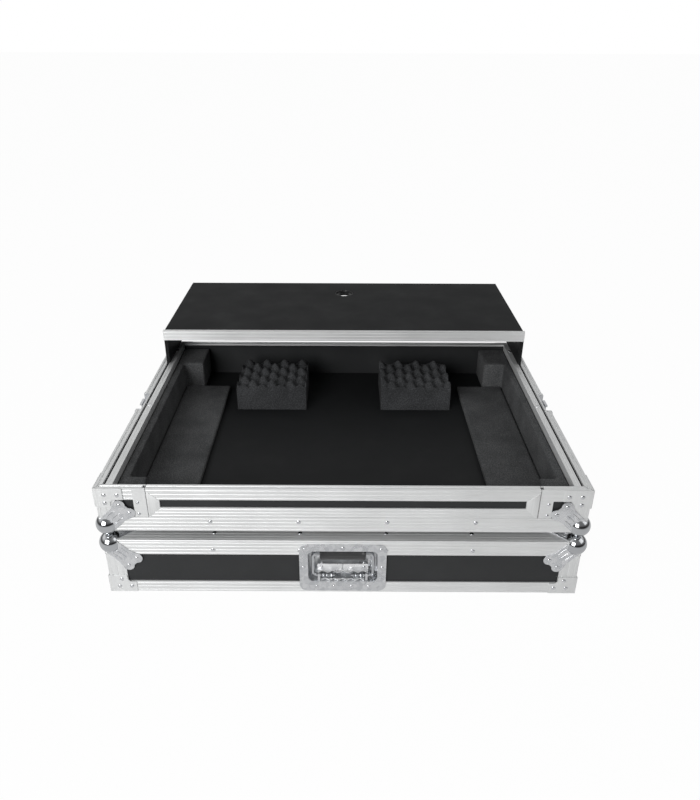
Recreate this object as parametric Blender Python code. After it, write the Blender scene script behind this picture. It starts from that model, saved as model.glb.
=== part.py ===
"""A flat flight case for a controller, with a sliding laptop shelf and a removable front panel.

The case stands as it does on a show: the lid lies on the ground as a stand, and the tray sits on
the lid's ball corners. Metres, +Z up. X runs across the case and Y from its front to its back.
The origin lies on the ground, under the centre of the whole outline.
"""
from math import cos, dist, pi, radians, sin, sqrt

import bmesh
import bpy
from mathutils import Matrix, Vector

# Outer sizes over the aluminium, and the running gap between separate pieces
CASE_WIDTH = 0.760
CASE_DEPTH = 0.572
LID_HEIGHT = 0.105
TRAY_HEIGHT = 0.0805
GAP = 0.0003

# Laminated boards and aluminium extrusions
BOARD = 0.0065
METAL = 0.002
EDGE_LEG = 0.0275
CORNER_LEG = 0.030
EDGE_ROUND = 0.0012
GROOVE_WIDTH = 0.0018
GROOVE_DEPTH = 0.0004
EDGE_GROOVES = 4
CORNER_GROOVES = 3
RIM_GROOVES = 3
ARC_STEPS = 4
SHADE_ANGLE = 40

# Closing profiles: the tray's groove takes the lid's tongue
RIM_HEIGHT = 0.021
RIM_INNER_METAL = 0.0019
RIM_INNER_DEPTH = 0.004
TONGUE_HEIGHT = 0.001
TONGUE_WIDTH = 0.003
TONGUE_CLEARANCE = 0.0004

# Pressed steel ball corners and flat corner braces
PRESSING = 0.0012
BALL_RADIUS = 0.018
BALL_OUT = 0.0091
BALL_SEGMENTS = 22
BALL_RINGS = 12
PETAL_WIDTH = 0.029
PETAL_NECK = 0.045
PETAL_REACH = 0.060
LOBE_RADIUS = 0.0093
LOBE_SPREAD = 0.0206
LOBE_ARC = (110, -50)
BRACE_REACH = 0.043
BRACE_ARM = 0.0205
BRACE_RISE = 0.033
BRACE_FILLET = 0.007
LID_BRACE_LEG = 0.0295
TRAY_BRACE_LEG = 0.0225
BRACE_TACK = 0.0008

# Removable front panel and the slots that hold its ends
PANEL_MARGIN = 0.079
PANEL_TONGUE = 0.005
PANEL_PLAY = 0.001
PANEL_FOOT_HEIGHT = 0.0176
PANEL_STILE_WIDTH = 0.0196
SLOT_FACE_WIDTH = 0.020
SLOT_METAL = 0.0018

# Sliding shelf, the slots that its cheeks run in, and its cable hole
SHELF_DEPTH = 0.310
SHELF_BOARD = 0.009
SHELF_RISE = 0.074
SHELF_PROFILE_HEIGHT = 0.021
SHELF_PROFILE_OVERHANG = 0.0029
SHELF_LIP_DEPTH = 0.006
SHELF_LIP_METAL = 0.001
CHEEK = 0.0065
CHEEK_SETBACK = 0.002
CHEEK_CLEARANCE = 0.0015
CHEEK_OVERLAP = 0.008
SLOT_WIDTH = 0.0045
SLOT_DEPTH = 0.014
RAIL_WIDTH = 0.0105
TONGUE_PLATE_LENGTH = 0.105
CABLE_HOLE = 0.042
CABLE_HOLE_SETBACK = 0.072
HOLE_SEGMENTS = 32

# Foam
LINING = 0.015
FOAM_SETDOWN = 0.010
FRONT_PIECE_DEPTH = 0.039
FRONT_PIECE_WIDTH = 0.029
BACK_BLOCK_DEPTH = 0.082
BACK_BLOCK_WIDTH = 0.041
PAD_WIDTH = 0.096
PAD_THICKNESS = 0.011
CRATE_WIDTH = 0.140
CRATE_DEPTH = 0.1225
CRATE_BASE = 0.041
CRATE_BUMP = 0.019
CRATE_PITCH = 0.038
CRATE_ROW_PITCH = 0.0405
CRATE_PHASES = {"left": (0.019, 0.005), "right": (0.009, 0.0068)}
CRATE_SIDE_GAP = 0.0264
CRATE_BACK_GAP = 0.0512
CRATE_STEPS = 6
LID_LINING = 0.010

# Sprung handle in its dish
HANDLE_FLANGE_WIDTH = 0.140
HANDLE_FLANGE_HEIGHT = 0.094
HANDLE_FLANGE_LOW = 0.0045
HANDLE_FLANGE_ROUND = 0.012
RECESS_WIDTH = 0.112
RECESS_HEIGHT = 0.0615
RECESS_LOW = 0.024
RECESS_ROUND = 0.009
RECESS_TAPER = 0.0015
RECESS_DEPTH = 0.0165
PIVOT_RISE = 0.0075
PIVOT_INSET = 0.006
BAIL_DIAMETER = 0.0064
BAIL_WIDTH = 0.097
BAIL_LENGTH = 0.044
BAIL_BEND = 0.007
BAIL_END = 0.013
BAIL_SIDES = 10
GRIP_LENGTH = 0.074
GRIP_RADIUS = 0.009
GRIP_CHAMFER = 0.0015
GRIP_SEGMENTS = 24
EAR_INNER = 0.0365
EAR_WIDTH = 0.004
EAR_WALL = 0.0022
SPRING_WIRE = 0.0016
SPRING_SLACK = 0.0006
SPRING_PITCH = 0.0026
SPRING_TURNS = 7
SPRING_STEPS = 9
SPRING_SIDES = 6

# Butterfly latches in the tray's sides, and the strikes in the lid's
LATCH_RECESS_WIDTH = 0.060
LATCH_FLANGE = 0.0085
LATCH_RECESS_DEPTH = 0.0076
LATCH_HEEL = 0.005
WING_HALF = 0.0215
WING_LOBE = 0.0085
WING_LOBE_ANGLE = 120
WING_WAIST = 0.0045
WING_PLATE = 0.002
WING_SET = 0.0006
WING_DROP = 0.028
HUB_RADIUS = 0.004
HUB_SEGMENTS = 16
HOOK_WIDTH = 0.022
HOOK_PLATE = 0.0018
HOOK_TRAVEL = 0.014
HOOK_FOOT = 0.0035
HOOK_LIP = 0.003
HOOK_LIP_REACH = 0.0026
STRIKE_RECESS_WIDTH = 0.040
STRIKE_RECESS_HEIGHT = 0.026
STRIKE_BAR = 0.003

# Heights and faces that several pieces share
HALF_WIDTH = CASE_WIDTH / 2
PANEL_SEAM = HALF_WIDTH - PANEL_MARGIN
BOARD_OUT = METAL + GAP
BOARD_IN = BOARD_OUT + BOARD
RIM_WIDTH = BOARD_IN + GAP + RIM_INNER_METAL
INSIDE = RIM_WIDTH + GAP
LID_RIM = TONGUE_HEIGHT
LID_TOP = LID_HEIGHT
TRAY_BASE = LID_TOP + 2 * BALL_OUT + GAP
TRAY_RIM = TRAY_BASE + TRAY_HEIGHT
FLOOR = TRAY_BASE + BOARD_IN + GAP
FOAM_TOP = TRAY_RIM - FOAM_SETDOWN
PANEL_BASE = TRAY_BASE + EDGE_LEG + GAP
SHELF_TOP = TRAY_RIM + SHELF_RISE
PROUD = GAP + PRESSING
SHELF_SETBACK = CASE_DEPTH - INSIDE - GAP - TONGUE_PLATE_LENGTH - METAL - GAP
FRONT = -(max(SHELF_SETBACK + SHELF_DEPTH, CASE_DEPTH + BALL_OUT) - BALL_OUT) / 2
BACK = FRONT + CASE_DEPTH
MIDDLE = FRONT + CASE_DEPTH / 2

# Faces of the slot beside each side wall, measured in from the case's side
SLOT_INSET = RIM_WIDTH + SLOT_WIDTH
RAIL_INSET = SLOT_INSET + RAIL_WIDTH
LINING_INSET = RAIL_INSET + GAP + LINING
LEDGE_TOP = TRAY_RIM - SLOT_DEPTH
RAIL_FLANGE = SLOT_DEPTH - GAP


def material(name, colour, roughness, metallic=0.0):
    """Returns a Principled material."""
    made = bpy.data.materials.new(name)
    made.use_nodes = True
    shader = made.node_tree.nodes["Principled BSDF"]
    shader.inputs["Base Color"].default_value = (*colour, 1)
    shader.inputs["Roughness"].default_value = roughness
    shader.inputs["Metallic"].default_value = metallic
    return made


def make(name, mesh, finish=None, smooth=False):
    """Links a bmesh to the scene as an object with its faces pointing out."""
    bmesh.ops.recalc_face_normals(mesh, faces=mesh.faces)
    if mesh.calc_volume(signed=True) < 0:
        bmesh.ops.reverse_faces(mesh, faces=mesh.faces)
    data = bpy.data.meshes.new(name)
    mesh.to_mesh(data)
    mesh.free()
    made = bpy.data.objects.new(name, data)
    bpy.context.scene.collection.objects.link(made)
    if finish:
        data.materials.append(finish)
    if smooth:
        data.shade_smooth()
        data.set_sharp_from_angle(angle=radians(SHADE_ANGLE))
    return made


def combine(base, others, operation):
    """Joins or cuts other objects into base, and removes them."""
    for other in others:
        step = base.modifiers.new(operation.lower(), "BOOLEAN")
        step.operation = operation
        step.object = other
        bpy.context.view_layer.update()
        graph = bpy.context.evaluated_depsgraph_get()
        solved = bpy.data.meshes.new_from_object(base.evaluated_get(graph))
        base.modifiers.remove(step)
        base.data = solved
        bpy.data.objects.remove(other)
    return base


def join(base, *others):
    """Fuses pieces into base."""
    return combine(base, others, "UNION")


def cut(base, *others):
    """Cuts pieces out of base."""
    return combine(base, others, "DIFFERENCE")


def box(name, low, high, finish=None):
    """Returns a box between two corners."""
    mesh = bmesh.new()
    size = Vector(high) - Vector(low)
    centre = (Vector(high) + Vector(low)) / 2
    bmesh.ops.create_cube(mesh, size=1, matrix=Matrix.Translation(centre) @ Matrix.Diagonal((*size, 1)))
    return make(name, mesh, finish)


def loft(name, rings, finish=None, closed=False, smooth=False):
    """Bridges rings of points in turn, and caps the ends unless the run closes on itself."""
    mesh = bmesh.new()
    rows = [[mesh.verts.new(point) for point in ring] for ring in rings]
    count = len(rows[0])
    pairs = list(zip(rows, rows[1:]))
    if closed:
        pairs.append((rows[-1], rows[0]))
    else:
        mesh.faces.new(rows[0])
        mesh.faces.new(rows[-1])
    for near, far in pairs:
        for i in range(count):
            j = (i + 1) % count
            mesh.faces.new((near[i], near[j], far[j], far[i]))
    return make(name, mesh, finish, smooth)


def prism(name, outline, start, end, axis, finish=None):
    """Extrudes an outline along an axis. Its two numbers are the other axes, in X, Y, Z order."""
    def place(point, along):
        spot = list(point)
        spot.insert("XYZ".index(axis), along)
        return spot
    return loft(name, [[place(point, along) for point in outline] for along in (start, end)], finish)


def turned(name, profile, centre, segments, finish=None, closed=False):
    """Turns a profile of (x, radius) points about a line along X through centre (y, z)."""
    rings = []
    for x, radius in profile:
        angles = [2 * pi * i / segments for i in range(segments)]
        rings.append([(x, centre[0] + radius * cos(a), centre[1] + radius * sin(a)) for a in angles])
    return loft(name, rings, finish, closed, smooth=True)


def sweep(name, section, stations, finish, closed):
    """Sweeps a section of (inset, height) points past stations of (x, y, inward x, inward y)."""
    rings = [[(x + dx * inset, y + dy * inset, z) for inset, z in section] for x, y, dx, dy in stations]
    return loft(name, rings, finish, closed)


def grooved(start, stop, count):
    """Returns (position, depth) points of evenly spaced grooves between two positions."""
    points = []
    for i in range(count):
        middle = start + (i + 0.5) * (stop - start) / count
        side = GROOVE_WIDTH / 2 if stop > start else -GROOVE_WIDTH / 2
        points += [(middle - side, 0), (middle, GROOVE_DEPTH), (middle + side, 0)]
    return points


def arc(centre, radius, start, end, steps):
    """Returns points along an arc, with its angles in degrees."""
    angles = [radians(start + (end - start) * i / steps) for i in range(steps + 1)]
    return [(centre[0] + radius * cos(a), centre[1] + radius * sin(a)) for a in angles]


def rounded(low, high, radius, steps=ARC_STEPS):
    """Returns a rounded rectangle's outline."""
    (x0, z0), (x1, z1) = low, high
    return (arc((x1 - radius, z0 + radius), radius, -90, 0, steps)
            + arc((x1 - radius, z1 - radius), radius, 0, 90, steps)
            + arc((x0 + radius, z1 - radius), radius, 90, 180, steps)
            + arc((x0 + radius, z0 + radius), radius, 180, 270, steps))


def angle_outline(leg, count):
    """Returns the outline of a grooved angle with its outer corner at (0, 0)."""
    face = [(0, EDGE_ROUND)] + [(d, s) for s, d in grooved(EDGE_ROUND, leg, count)] + [(0, leg)]
    heel = [(METAL, leg), (METAL, METAL), (leg, METAL)]
    flank = [(leg, 0)] + [(s, d) for s, d in grooved(leg, EDGE_ROUND, count)] + [(EDGE_ROUND, 0)]
    return face + heel + flank


def rim_section(rib_width, rib_height):
    """Returns a closing profile as (inset, depth below the rim) points.

    A positive rib height is a tongue above the rim, and a negative one is a groove in it.
    """
    middle = RIM_WIDTH / 2
    outer = [(0, 0)] + [(d, s) for s, d in grooved(0, RIM_HEIGHT, RIM_GROOVES)] + [(0, RIM_HEIGHT)]
    hollow = [(METAL, RIM_HEIGHT), (METAL, METAL), (RIM_WIDTH - RIM_INNER_METAL, METAL)]
    inner = [(RIM_WIDTH - RIM_INNER_METAL, RIM_INNER_DEPTH), (RIM_WIDTH, RIM_INNER_DEPTH), (RIM_WIDTH, 0)]
    rib = [(middle + rib_width / 2, 0), (middle + rib_width / 3, -rib_height),
           (middle - rib_width / 3, -rib_height), (middle - rib_width / 2, 0)]
    return outer + hollow + inner + rib


def corner_stations():
    """Returns the four mitred stations round the case, from the front left."""
    return [(-HALF_WIDTH, FRONT, 1, 1), (-HALF_WIDTH, BACK, 1, -1),
            (HALF_WIDTH, BACK, -1, -1), (HALF_WIDTH, FRONT, -1, 1)]


def corner_matrix(side, end, level, rise):
    """Maps a corner's own frame to the case: insets from two faces, and height from a third."""
    origin = Matrix.Translation((side * HALF_WIDTH, FRONT if end < 0 else BACK, level))
    return origin @ Matrix.Diagonal((-side, -end, rise, 1))


def place_copy(name, source, matrix, finish, smooth=False):
    """Returns a copy of a mesh under a matrix, which may mirror it."""
    mesh = bmesh.new()
    mesh.from_mesh(source)
    mesh.transform(matrix)
    return make(name, mesh, finish, smooth)


def at_corners(base_name, source, level, rise, finish, smooth=False):
    """Places a copy of a corner piece at each of the four corners."""
    for end, end_name in ((-1, "front"), (1, "rear")):
        for side, side_name in ((-1, "left"), (1, "right")):
            matrix = corner_matrix(side, end, level, rise)
            place_copy(f"{base_name}_{end_name}_{side_name}", source, matrix, finish, smooth)


def petal_outline():
    """Returns the outline of a ball corner's plate: a petal along the face's diagonal, with two lobes."""
    lobe = arc((PETAL_REACH, LOBE_SPREAD / 2), LOBE_RADIUS, *LOBE_ARC, 2 * ARC_STEPS)
    edge = [(PETAL_NECK, PETAL_WIDTH / 2)] + lobe
    petal = edge + [(along, -across) for along, across in reversed(edge)]
    foot = PETAL_WIDTH / sqrt(2) - PROUD
    points = [((along + across) / sqrt(2), (along - across) / sqrt(2)) for along, across in petal]
    return [(-PROUD, -PROUD), (foot, -PROUD)] + points + [(-PROUD, foot)]


def ball_corner_mesh():
    """Returns a ball corner in its corner's frame, hollow where the case's corner fills it."""
    plates = [prism("plate", petal_outline(), -PROUD, -GAP, axis) for axis in "XYZ"]
    mesh = bmesh.new()
    centre = Vector((1, 1, 1)) * (BALL_RADIUS - BALL_OUT)
    bmesh.ops.create_uvsphere(mesh, u_segments=BALL_SEGMENTS, v_segments=BALL_RINGS, radius=BALL_RADIUS,
                              matrix=Matrix.Translation(centre))
    ball = make("ball", mesh)
    corner = box("case_corner", (-GAP, -GAP, -GAP), Vector((1, 1, 1)) * (PETAL_REACH + LOBE_RADIUS))
    join(ball, *plates)
    cut(ball, corner)
    mesh = ball.data
    bpy.data.objects.remove(ball)
    return mesh


def brace_outline(height, leg):
    """Returns the outline of a brace's plate on one face: an arm along the rim, a fillet and a leg."""
    arm = height - BRACE_ARM
    fillet = arc((leg + BRACE_FILLET, arm - BRACE_FILLET), BRACE_FILLET, 90, 180, ARC_STEPS)
    low = height - BRACE_RISE
    top = [(-PROUD, height), (BRACE_REACH, height), (BRACE_REACH, arm)]
    return top + fillet + [(leg, low), (-PROUD, low)]


def corner_edge_mesh(height, leg):
    """Returns a corner angle with the flat brace that is riveted over its end at the rim."""
    rim = height - RIM_HEIGHT - GAP
    angle = prism("angle", angle_outline(CORNER_LEG, CORNER_GROOVES), EDGE_LEG + GAP, rim, "Z")
    plates = [prism("plate", brace_outline(height, leg), -PROUD, -GAP, axis) for axis in "XY"]
    low = height - BRACE_RISE + BRACE_TACK
    tack = prism("tack", bent_strip(-BRACE_TACK, BRACE_TACK, leg - METAL), low, rim - BRACE_TACK, "Z")
    join(angle, tack, *plates)
    mesh = angle.data
    bpy.data.objects.remove(angle)
    return mesh


def bent_strip(outer, inner, reach):
    """Returns the outline of a strip bent round a corner, between two insets."""
    return [(outer, outer), (reach, outer), (reach, inner), (inner, inner), (inner, reach), (outer, reach)]


def side_face(side, inset):
    """Returns the x of a plane inset from a side face."""
    return side * (HALF_WIDTH - inset)


def side_prism(name, outline, side, inset, thickness, finish=None):
    """Extrudes a (y, z) outline inward from an inset off a side face."""
    near = side_face(side, inset)
    far = side_face(side, inset + thickness)
    return prism(name, outline, near, far, "X", finish)


def rectangle(low, high):
    """Returns a rectangle's outline."""
    return [(low[0], low[1]), (high[0], low[1]), (high[0], high[1]), (low[0], high[1])]


def latch_notch(width, depth, level, rise):
    """Returns the outline of a notch that a latch or strike pan needs in a side."""
    half = width / 2 + PRESSING + GAP
    reach = depth + PRESSING + GAP
    low, high = sorted((level + rise * METAL, level - rise * reach))
    return rectangle((MIDDLE - half, low), (MIDDLE + half, high))


def notched_wall(name, low, high, notch, finish, side):
    """Returns a side wall with a notch cut through it."""
    wall = side_prism(name, rectangle((FRONT + BOARD_OUT, low), (BACK - BOARD_OUT, high)), side,
                      BOARD_OUT, BOARD, finish)
    return cut(wall, side_prism("notch", notch, side, 0, RIM_WIDTH))


def rim_notch(side, notch):
    """Returns the cutter that opens a closing profile above a latch, short of its inner flange."""
    return side_prism("notch", notch, side, -METAL, METAL + BOARD_IN + GAP / 2)


def build_lid(laminate, aluminium, chrome, foam):
    """Makes the lid's boards, extrusions, corners and foam."""
    inner = HALF_WIDTH - BOARD_IN - GAP
    low = LID_RIM + METAL + GAP
    high = LID_TOP - BOARD_IN - GAP
    box("lid_top_panel", (-(HALF_WIDTH - BOARD_OUT), FRONT + BOARD_OUT, LID_TOP - BOARD_IN),
        (HALF_WIDTH - BOARD_OUT, BACK - BOARD_OUT, LID_TOP - BOARD_OUT), laminate)
    box("lid_rear_wall", (-inner, BACK - BOARD_IN, low), (inner, BACK - BOARD_OUT, high), laminate)
    front = box("lid_front_wall", (-inner, FRONT + BOARD_OUT, low), (inner, FRONT + BOARD_IN, high), laminate)
    pan = PRESSING + GAP
    hole = rounded((-RECESS_WIDTH / 2 - pan, RECESS_LOW - pan),
                   (RECESS_WIDTH / 2 + pan, RECESS_LOW + RECESS_HEIGHT + pan), RECESS_ROUND + pan)
    cut(front, prism("hole", hole, FRONT - METAL, FRONT + RIM_WIDTH, "Y"))
    notch = latch_notch(STRIKE_RECESS_WIDTH, STRIKE_RECESS_HEIGHT, LID_RIM, -1)
    for side, side_name in ((-1, "left"), (1, "right")):
        notched_wall(f"lid_{side_name}_wall", low, high, notch, laminate, side)
    section = [(inset, LID_TOP - depth) for inset, depth in angle_outline(EDGE_LEG, EDGE_GROOVES)]
    edge = sweep("lid_top_edge_frame", section, corner_stations(), aluminium, closed=True)
    cut(edge, prism("hole", hole, FRONT - METAL, FRONT + METAL + GAP, "Y"))
    section = [(inset, LID_RIM + depth) for inset, depth in rim_section(TONGUE_WIDTH, TONGUE_HEIGHT)]
    rim = sweep("lid_rim_frame", section, corner_stations(), aluminium, closed=True)
    rim_notches = latch_notch(STRIKE_RECESS_WIDTH, STRIKE_RECESS_HEIGHT, LID_RIM - METAL, -1)
    cut(rim, rim_notch(-1, rim_notches), rim_notch(1, rim_notches))
    corner = corner_edge_mesh(LID_TOP - LID_RIM, LID_BRACE_LEG)
    at_corners("lid_corner_edge", corner, LID_TOP, -1, aluminium)
    at_corners("lid_ball_corner", ball_corner_mesh(), LID_TOP, -1, chrome, smooth=True)
    pan_back = RECESS_DEPTH + pan + GAP
    box("lid_foam_lining", (-HALF_WIDTH + INSIDE, FRONT + pan_back, high - LID_LINING),
        (HALF_WIDTH - INSIDE, BACK - INSIDE, high), foam)


def build_handle(steel, chrome, rubber):
    """Makes the lid's handle: its dish, bail, grip and spring."""
    def ring(width, height, low, radius, y):
        outline = rounded((-width / 2, low), (width / 2, low + height), radius)
        return [(x, FRONT + y, z) for x, z in outline]
    taper = RECESS_TAPER
    t = PRESSING
    floor_width = RECESS_WIDTH - 2 * taper
    floor_height = RECESS_HEIGHT - 2 * taper
    flange = (HANDLE_FLANGE_WIDTH, HANDLE_FLANGE_HEIGHT, HANDLE_FLANGE_LOW, HANDLE_FLANGE_ROUND)
    dish = loft("handle_dish", [
        ring(floor_width, floor_height, RECESS_LOW + taper, RECESS_ROUND, RECESS_DEPTH),
        ring(RECESS_WIDTH, RECESS_HEIGHT, RECESS_LOW, RECESS_ROUND, -PROUD),
        ring(*flange, -PROUD),
        ring(*flange, -GAP),
        ring(RECESS_WIDTH + 2 * t, RECESS_HEIGHT + 2 * t, RECESS_LOW - t, RECESS_ROUND + t, -GAP),
        ring(floor_width + 2 * t, floor_height + 2 * t, RECESS_LOW + taper - t, RECESS_ROUND + t,
             RECESS_DEPTH + t)], chrome)
    pivot_y = FRONT + PIVOT_INSET
    pivot_z = RECESS_LOW + PIVOT_RISE
    bore = BAIL_DIAMETER / 2 + GAP
    reach = bore + EAR_WALL
    for side in (-1, 1):
        near, far = sorted((side * EAR_INNER, side * (EAR_INNER + EAR_WIDTH)))
        ear = box("ear", (near, pivot_y - reach, RECESS_LOW - t / 2),
                  (far, FRONT + RECESS_DEPTH + t / 2, pivot_z + reach))
        join(dish, ear)
        hole = turned("bore", [(near - METAL, bore), (far + METAL, bore)], (pivot_y, pivot_z), GRIP_SEGMENTS)
        cut(dish, hole)
    bail_outline(chrome, pivot_y, pivot_z)
    half = GRIP_LENGTH / 2
    shell = [(-half, bore), (-half, GRIP_RADIUS - GRIP_CHAMFER), (-half + GRIP_CHAMFER, GRIP_RADIUS),
             (half - GRIP_CHAMFER, GRIP_RADIUS), (half, GRIP_RADIUS - GRIP_CHAMFER), (half, bore)]
    turned("handle_grip", shell, (pivot_y, pivot_z + BAIL_LENGTH), GRIP_SEGMENTS, rubber, closed=True)
    handle_spring(steel, pivot_y, pivot_z)


def tube(name, points, diameter, sides, finish):
    """Returns a closed tube along points. A bevel of resolution n has 2n + 4 sides."""
    curve = bpy.data.curves.new(name, "CURVE")
    curve.dimensions = "3D"
    curve.bevel_depth = diameter / 2
    curve.bevel_resolution = sides // 2 - 2
    curve.use_fill_caps = True
    spline = curve.splines.new("POLY")
    spline.points.add(len(points) - 1)
    for spot, point in zip(spline.points, points):
        spot.co = (*point, 1)
    curve.materials.append(finish)
    made = bpy.data.objects.new(name, curve)
    bpy.context.scene.collection.objects.link(made)
    return made


def bail_outline(finish, y, z):
    """Makes the bail: one wire bent up each side, with its ends turned in through the ears."""
    half = BAIL_WIDTH / 2
    bend = BAIL_BEND
    right = [(BAIL_END, z)] + arc((half - bend, z + bend), bend, -90, 0, ARC_STEPS)
    right += arc((half - bend, z + BAIL_LENGTH - bend), bend, 0, 90, ARC_STEPS)
    left = [(-x, height) for x, height in reversed(right)]
    tube("handle_bail", [(x, y, height) for x, height in right + left], BAIL_DIAMETER, BAIL_SIDES,
         finish)


def handle_spring(finish, y, z):
    """Makes the double torsion spring round the bail's turned-in ends, as one wire."""
    radius = BAIL_DIAMETER / 2 + SPRING_SLACK + SPRING_WIRE / 2
    steps = SPRING_TURNS * SPRING_STEPS
    start = EAR_INNER - SPRING_WIRE - GAP
    pack = []
    for i in range(steps + 1):
        turn = 2 * pi * i / SPRING_STEPS
        pack.append((start - SPRING_PITCH * i / SPRING_STEPS, y - radius * sin(turn), z + radius * cos(turn)))
    other = [(-x, spot_y, spot_z) for x, spot_y, spot_z in reversed(pack)]
    points = pack + other
    gap = min(dist(a, b) for i, a in enumerate(points) for b in points[i + SPRING_STEPS - 1:])
    print(f"handle_spring: least gap to itself {1000 * (gap - SPRING_WIRE):.2f} mm")
    tube("handle_spring", points, SPRING_WIRE, SPRING_SIDES, finish)


def pan(name, side, half, level, rise, depth, heel, finish):
    """Makes a latch or strike pan: a flange over the side with a recess that is open at the rim."""
    low, high = sorted((level, level - rise * (depth + heel)))
    flange = rectangle((MIDDLE - half - LATCH_FLANGE, low), (MIDDLE + half + LATCH_FLANGE, high))
    made = side_prism(name, flange, side, -PROUD, PRESSING, finish)
    low, high = sorted((level, level - rise * (depth + PRESSING)))
    wall = half + PRESSING
    shell = rectangle((MIDDLE - wall, low), (MIDDLE + wall, high))
    join(made, side_prism("shell", shell, side, -PROUD / 2, PROUD / 2 + LATCH_RECESS_DEPTH + PRESSING))
    low, high = sorted((level + rise * METAL, level - rise * depth))
    hollow = rectangle((MIDDLE - half, low), (MIDDLE + half, high))
    return cut(made, side_prism("hollow", hollow, side, -METAL, METAL + LATCH_RECESS_DEPTH))


def latch_depth():
    """Returns the latch recess's height below the tray's rim, clear of the bottom edge angle."""
    return TRAY_RIM - PANEL_BASE - PRESSING - 2 * GAP


def build_latches(steel, chrome):
    """Makes each side's latch in the tray, and the strike that it pulls on the lid."""
    for side, side_name in ((-1, "left"), (1, "right")):
        rim = TRAY_RIM - GAP
        half = LATCH_RECESS_WIDTH / 2
        depth = latch_depth()
        pan(f"latch_dish_{side_name}", side, half, rim, 1, depth - GAP, LATCH_HEEL, chrome)
        hub_z = TRAY_RIM - WING_DROP
        lobe = WING_HALF - WING_LOBE
        right = arc((lobe, 0), WING_LOBE, -WING_LOBE_ANGLE, WING_LOBE_ANGLE, 2 * ARC_STEPS)
        outline = [(MIDDLE + y, hub_z + z) for y, z in right + [(0, WING_WAIST)]]
        outline += [(MIDDLE - y, hub_z - z) for y, z in right + [(0, WING_WAIST)]]
        wing = side_prism(f"latch_wing_{side_name}", outline, side, WING_SET, WING_PLATE, chrome)
        back = LATCH_RECESS_DEPTH - GAP
        hub = turned("hub", [(side_face(side, WING_SET + WING_PLATE / 2), HUB_RADIUS),
                             (side_face(side, back), HUB_RADIUS)], (MIDDLE, hub_z), HUB_SEGMENTS)
        join(wing, hub)
        latch_hook(f"latch_hook_{side_name}", side, hub_z, steel)
        strike_half = STRIKE_RECESS_WIDTH / 2
        strike = pan(f"lid_strike_dish_{side_name}", side, strike_half, LID_RIM + GAP, -1,
                     STRIKE_RECESS_HEIGHT, LATCH_HEEL, chrome)
        bar_low = LID_RIM + HOOK_TRAVEL - 2 * HOOK_LIP - STRIKE_BAR
        bar = rectangle((MIDDLE - strike_half - PRESSING / 2, bar_low),
                        (MIDDLE + strike_half + PRESSING / 2, bar_low + STRIKE_BAR))
        join(strike, side_prism("bar", bar, side, WING_SET, STRIKE_BAR - WING_SET))


def latch_hook(name, side, hub_z, finish):
    """Makes the hook plate that slides behind the wing, with a slot for the wing's hub."""
    inset = WING_SET + WING_PLATE + 2 * GAP
    top = TRAY_RIM - 2 * GAP
    slot = HUB_RADIUS + GAP
    slot_low = hub_z - HOOK_TRAVEL
    half = HOOK_WIDTH / 2
    plate = rectangle((MIDDLE - half, slot_low - slot - HOOK_FOOT), (MIDDLE + half, top))
    hook = side_prism(name, plate, side, inset, HOOK_PLATE, finish)
    lip = rectangle((MIDDLE - half, top - HOOK_LIP), (MIDDLE + half, top))
    join(hook, side_prism("lip", lip, side, inset - HOOK_LIP_REACH, HOOK_LIP_REACH + HOOK_PLATE))
    slot_outline = [(MIDDLE + y, hub_z + z) for y, z in arc((0, 0), slot, 0, 180, 2 * ARC_STEPS)]
    slot_outline += [(MIDDLE + y, slot_low + z) for y, z in arc((0, 0), slot, 180, 360, 2 * ARC_STEPS)]
    return cut(hook, side_prism("slot", slot_outline, side, inset - GAP, HOOK_PLATE + 2 * GAP))


def build_tray(laminate, aluminium, chrome):
    """Makes the tray's boards, extrusions and corners."""
    outer = HALF_WIDTH - BOARD_OUT
    inner = HALF_WIDTH - BOARD_IN - GAP
    top = TRAY_RIM - METAL - GAP
    box("tray_floor", (-outer, FRONT + BOARD_OUT, TRAY_BASE + BOARD_OUT),
        (outer, BACK - BOARD_OUT, TRAY_BASE + BOARD_IN), laminate)
    box("tray_rear_wall", (-inner, BACK - BOARD_IN, FLOOR), (inner, BACK - BOARD_OUT, top), laminate)
    cheek = PANEL_SEAM + PANEL_TONGUE + SLOT_METAL + 2 * GAP
    front = [(-inner, FLOOR), (inner, FLOOR), (inner, top), (cheek, top), (cheek, PANEL_BASE - GAP),
             (-cheek, PANEL_BASE - GAP), (-cheek, top), (-inner, top)]
    prism("tray_front_wall", front, FRONT + BOARD_OUT, FRONT + BOARD_IN, "Y", laminate)
    notch = latch_notch(LATCH_RECESS_WIDTH, latch_depth(), TRAY_RIM, 1)
    for side, side_name in ((-1, "left"), (1, "right")):
        notched_wall(f"tray_{side_name}_wall", FLOOR, top, notch, laminate, side)
    section = [(inset, TRAY_BASE + depth) for inset, depth in angle_outline(EDGE_LEG, EDGE_GROOVES)]
    sweep("tray_bottom_edge_frame", section, corner_stations(), aluminium, closed=True)
    groove_width = TONGUE_WIDTH + 2 * TONGUE_CLEARANCE
    groove_depth = TONGUE_HEIGHT + TONGUE_CLEARANCE
    section = [(inset, TRAY_RIM - depth) for inset, depth in rim_section(groove_width, -groove_depth)]
    seam = PANEL_SEAM + PANEL_PLAY
    ends = [(-seam, FRONT, 0, 1)] + corner_stations() + [(seam, FRONT, 0, 1)]
    rim = sweep("tray_rim_frame", section, ends, aluminium, closed=False)
    join(rim, slot_channel(-1), slot_channel(1))
    cut(rim, rim_notch(-1, notch), rim_notch(1, notch), slot_mouth(-1), slot_mouth(1))
    corner = corner_edge_mesh(TRAY_HEIGHT, TRAY_BRACE_LEG)
    at_corners("tray_corner_edge", corner, TRAY_BASE, 1, aluminium)
    at_corners("tray_ball_corner", ball_corner_mesh(), TRAY_BASE, 1, chrome, smooth=True)


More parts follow.
